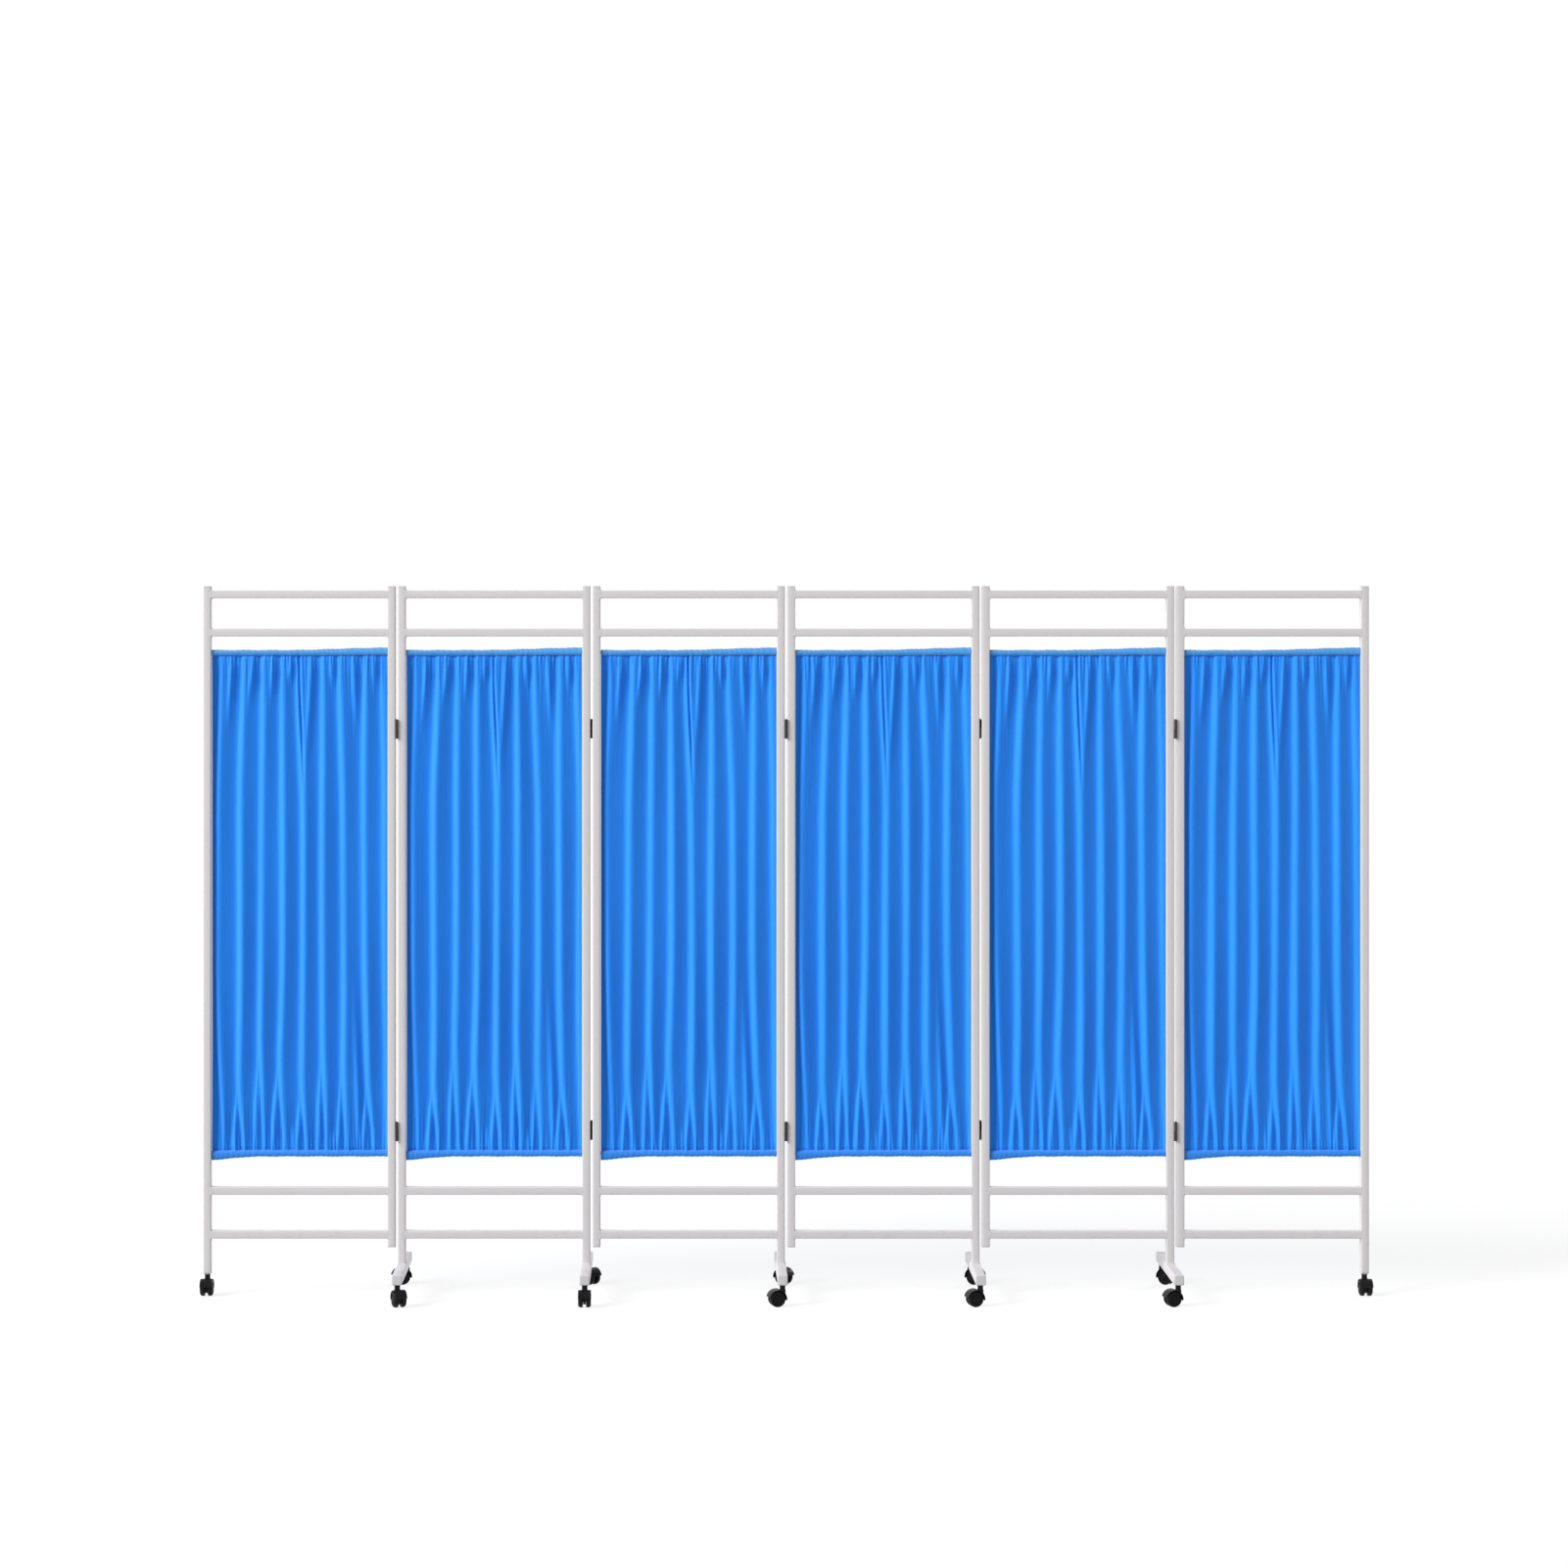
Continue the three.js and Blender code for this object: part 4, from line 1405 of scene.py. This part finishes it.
# What the floor shows the camera near the screen is part its own glow and part the light on
# it, so that its shadows stay; with distance it fades to white.
FLOOR_CAUGHT, FLOOR_GLOW, FLOOR_TONE = (0.2, 0.2, 0.2, 1), 0.81, (0.45, 0.45, 0.45, 1)
FLOOR_SQUEEZE, FLOOR_FADE = (0.62, 1.0, 1.0), (1.2, 2.6)
# The floor's faces along a side, and half its width.
FLOOR_FACES, FLOOR_REACH = 12, 40
# The photo's side and its pixels per metre at the screen, the screen's middle, and the floor.
IMAGE, PIXELS_PER_METRE, CENTRE_PIXEL, FLOOR_PIXEL = 1601, 402, 802.5, 1322


class WARD_OT_stage(Operator):
    """Build the floor, the background, the lights and the camera"""

    bl_idname = "ward_screen.stage"
    bl_label = "Stage"

    def execute(self, context):
        scene, settings = context.scene, context.scene.ward_screen.stage
        scene.view_settings.view_transform = "Standard"
        self.add_floor(scene)
        self.light_world(scene, settings)
        for name, (place, size) in LAMPS.items():
            self.add_lamp(scene, name, Vector(place), getattr(settings, name), size)
        self.add_camera(scene, settings)
        return {"FINISHED"}

    def camera_sees(self, finish):
        """1 for rays from the camera and for what gloss and glass show, else 0."""
        paths = [
            finish.node("ShaderNodeLightPath", output=ray)
            for ray in ("Is Camera Ray", "Is Glossy Ray", "Is Transmission Ray")
        ]
        return (paths[0] + paths[1] + paths[2]).clamped()

    def add_floor(self, scene):
        """A pale floor that fades to the white background away from the screen."""
        bm = bmesh.new()
        faces = {"x_segments": FLOOR_FACES, "y_segments": FLOOR_FACES}
        bmesh.ops.create_grid(bm, size=FLOOR_REACH, **faces)
        mesh = as_mesh(bm, "floor")
        finish = Finish(bpy.data.materials.new("pale_floor"))
        plain = finish.node("ShaderNodeBsdfDiffuse", inputs={"Color": FLOOR_TONE})
        caught = finish.node("ShaderNodeBsdfDiffuse", inputs={"Color": FLOOR_CAUGHT})
        glow = finish.node("ShaderNodeEmission", inputs={"Strength": FLOOR_GLOW})
        near = finish.node("ShaderNodeAddShader", inputs={0: caught, 1: glow})
        white = finish.node("ShaderNodeEmission", inputs={"Strength": 1.0})
        squeezed = {0: finish.place(FLOOR_SQUEEZE)}
        away = finish.node("ShaderNodeVectorMath", {"operation": "LENGTH"}, squeezed, "Value")
        far = finish.ramp(away, *FLOOR_FADE)
        shown = finish.node("ShaderNodeMixShader", inputs={0: far, 1: near, 2: white})
        seen = self.camera_sees(finish)
        finish.output(finish.node("ShaderNodeMixShader", inputs={0: seen, 1: plain, 2: shown}))
        mesh.materials.append(finish.owner)
        floor = bpy.data.objects.new("floor", mesh)
        scene.collection.objects.link(floor)

    def light_world(self, scene, settings):
        """White where the camera looks, and an even pale light on everything."""
        finish = Finish(bpy.data.worlds.new("studio"))
        seen = self.camera_sees(finish)
        strength = seen * (1 - settings.ambient) + settings.ambient
        white = {"Color": (1, 1, 1, 1), "Strength": strength}
        light = finish.node("ShaderNodeBackground", inputs=white)
        finish.node("ShaderNodeOutputWorld", inputs={"Surface": light})
        scene.world = finish.owner

    def add_lamp(self, scene, name, place, share, size):
        """A round lamp that lights a white face turned to it to a share of white."""
        data = bpy.data.lights.new(name, "AREA")
        data.shape, data.size = "DISK", size
        data.energy = share * math.pi**2 * (AIM - place).length_squared
        lamp = bpy.data.objects.new(name, data)
        lamp.location = place
        lamp.rotation_euler = (AIM - place).to_track_quat("-Z", "Y").to_euler()
        scene.collection.objects.link(lamp)

    def add_camera(self, scene, settings):
        """A level camera, shifted so that the screen stands where the photo has it."""
        data = bpy.data.cameras.new("camera")
        data.lens = data.sensor_width * PIXELS_PER_METRE * settings.distance / IMAGE
        principal = CENTRE_PIXEL - settings.camera_left * PIXELS_PER_METRE
        horizon = FLOOR_PIXEL - settings.camera_height * PIXELS_PER_METRE
        data.shift_x = (IMAGE / 2 - principal) / IMAGE
        data.shift_y = (horizon - IMAGE / 2) / IMAGE
        camera = bpy.data.objects.new("camera", data)
        camera.location = (-settings.camera_left, -settings.distance, settings.camera_height)
        camera.rotation_euler = (math.pi / 2, 0, 0)
        scene.collection.objects.link(camera)
        scene.camera = camera


# Add-on


OPERATORS = (
    WARD_OT_tubes,
    WARD_OT_plugs,
    WARD_OT_welds,
    WARD_OT_hinges,
    WARD_OT_rods,
    WARD_OT_curtains,
    WARD_OT_caster_hoods,
    WARD_OT_caster_wheels,
    WARD_OT_stage,
)


class WARD_PT_screen(Panel):
    """The screen's sizes, colours and pieces"""

    bl_label = "Ward Privacy Screen"
    bl_space_type = "VIEW_3D"
    bl_region_type = "UI"
    bl_category = "Ward Screen"

    def draw(self, context):
        screen = context.scene.ward_screen
        for group in ("frames", "hinges", "curtains", "casters", "colours", "stage"):
            box = self.layout.box()
            box.label(text=group.capitalize())
            values = getattr(screen, group)
            for name in values.__annotations__:
                box.prop(values, name)
        for operator in OPERATORS:
            self.layout.operator(operator.bl_idname)


CLASSES = (
    FrameSizes,
    HingeSizes,
    CurtainSizes,
    CasterSizes,
    ScreenColours,
    StageSettings,
    WardScreen,
    *OPERATORS,
    WARD_PT_screen,
)


def register():
    for entry in CLASSES:
        bpy.utils.register_class(entry)
    bpy.types.Scene.ward_screen = PointerProperty(type=WardScreen)


def unregister():
    del bpy.types.Scene.ward_screen
    for entry in reversed(CLASSES):
        bpy.utils.unregister_class(entry)


def main():
    register()
    bpy.ops.ward_screen.tubes()
    bpy.ops.ward_screen.plugs()
    bpy.ops.ward_screen.welds()
    bpy.ops.ward_screen.hinges()
    bpy.ops.ward_screen.rods()
    bpy.ops.ward_screen.curtains()
    bpy.ops.ward_screen.caster_hoods()
    bpy.ops.ward_screen.caster_wheels()
    bpy.ops.ward_screen.stage()


if __name__ == "__main__":
    main()
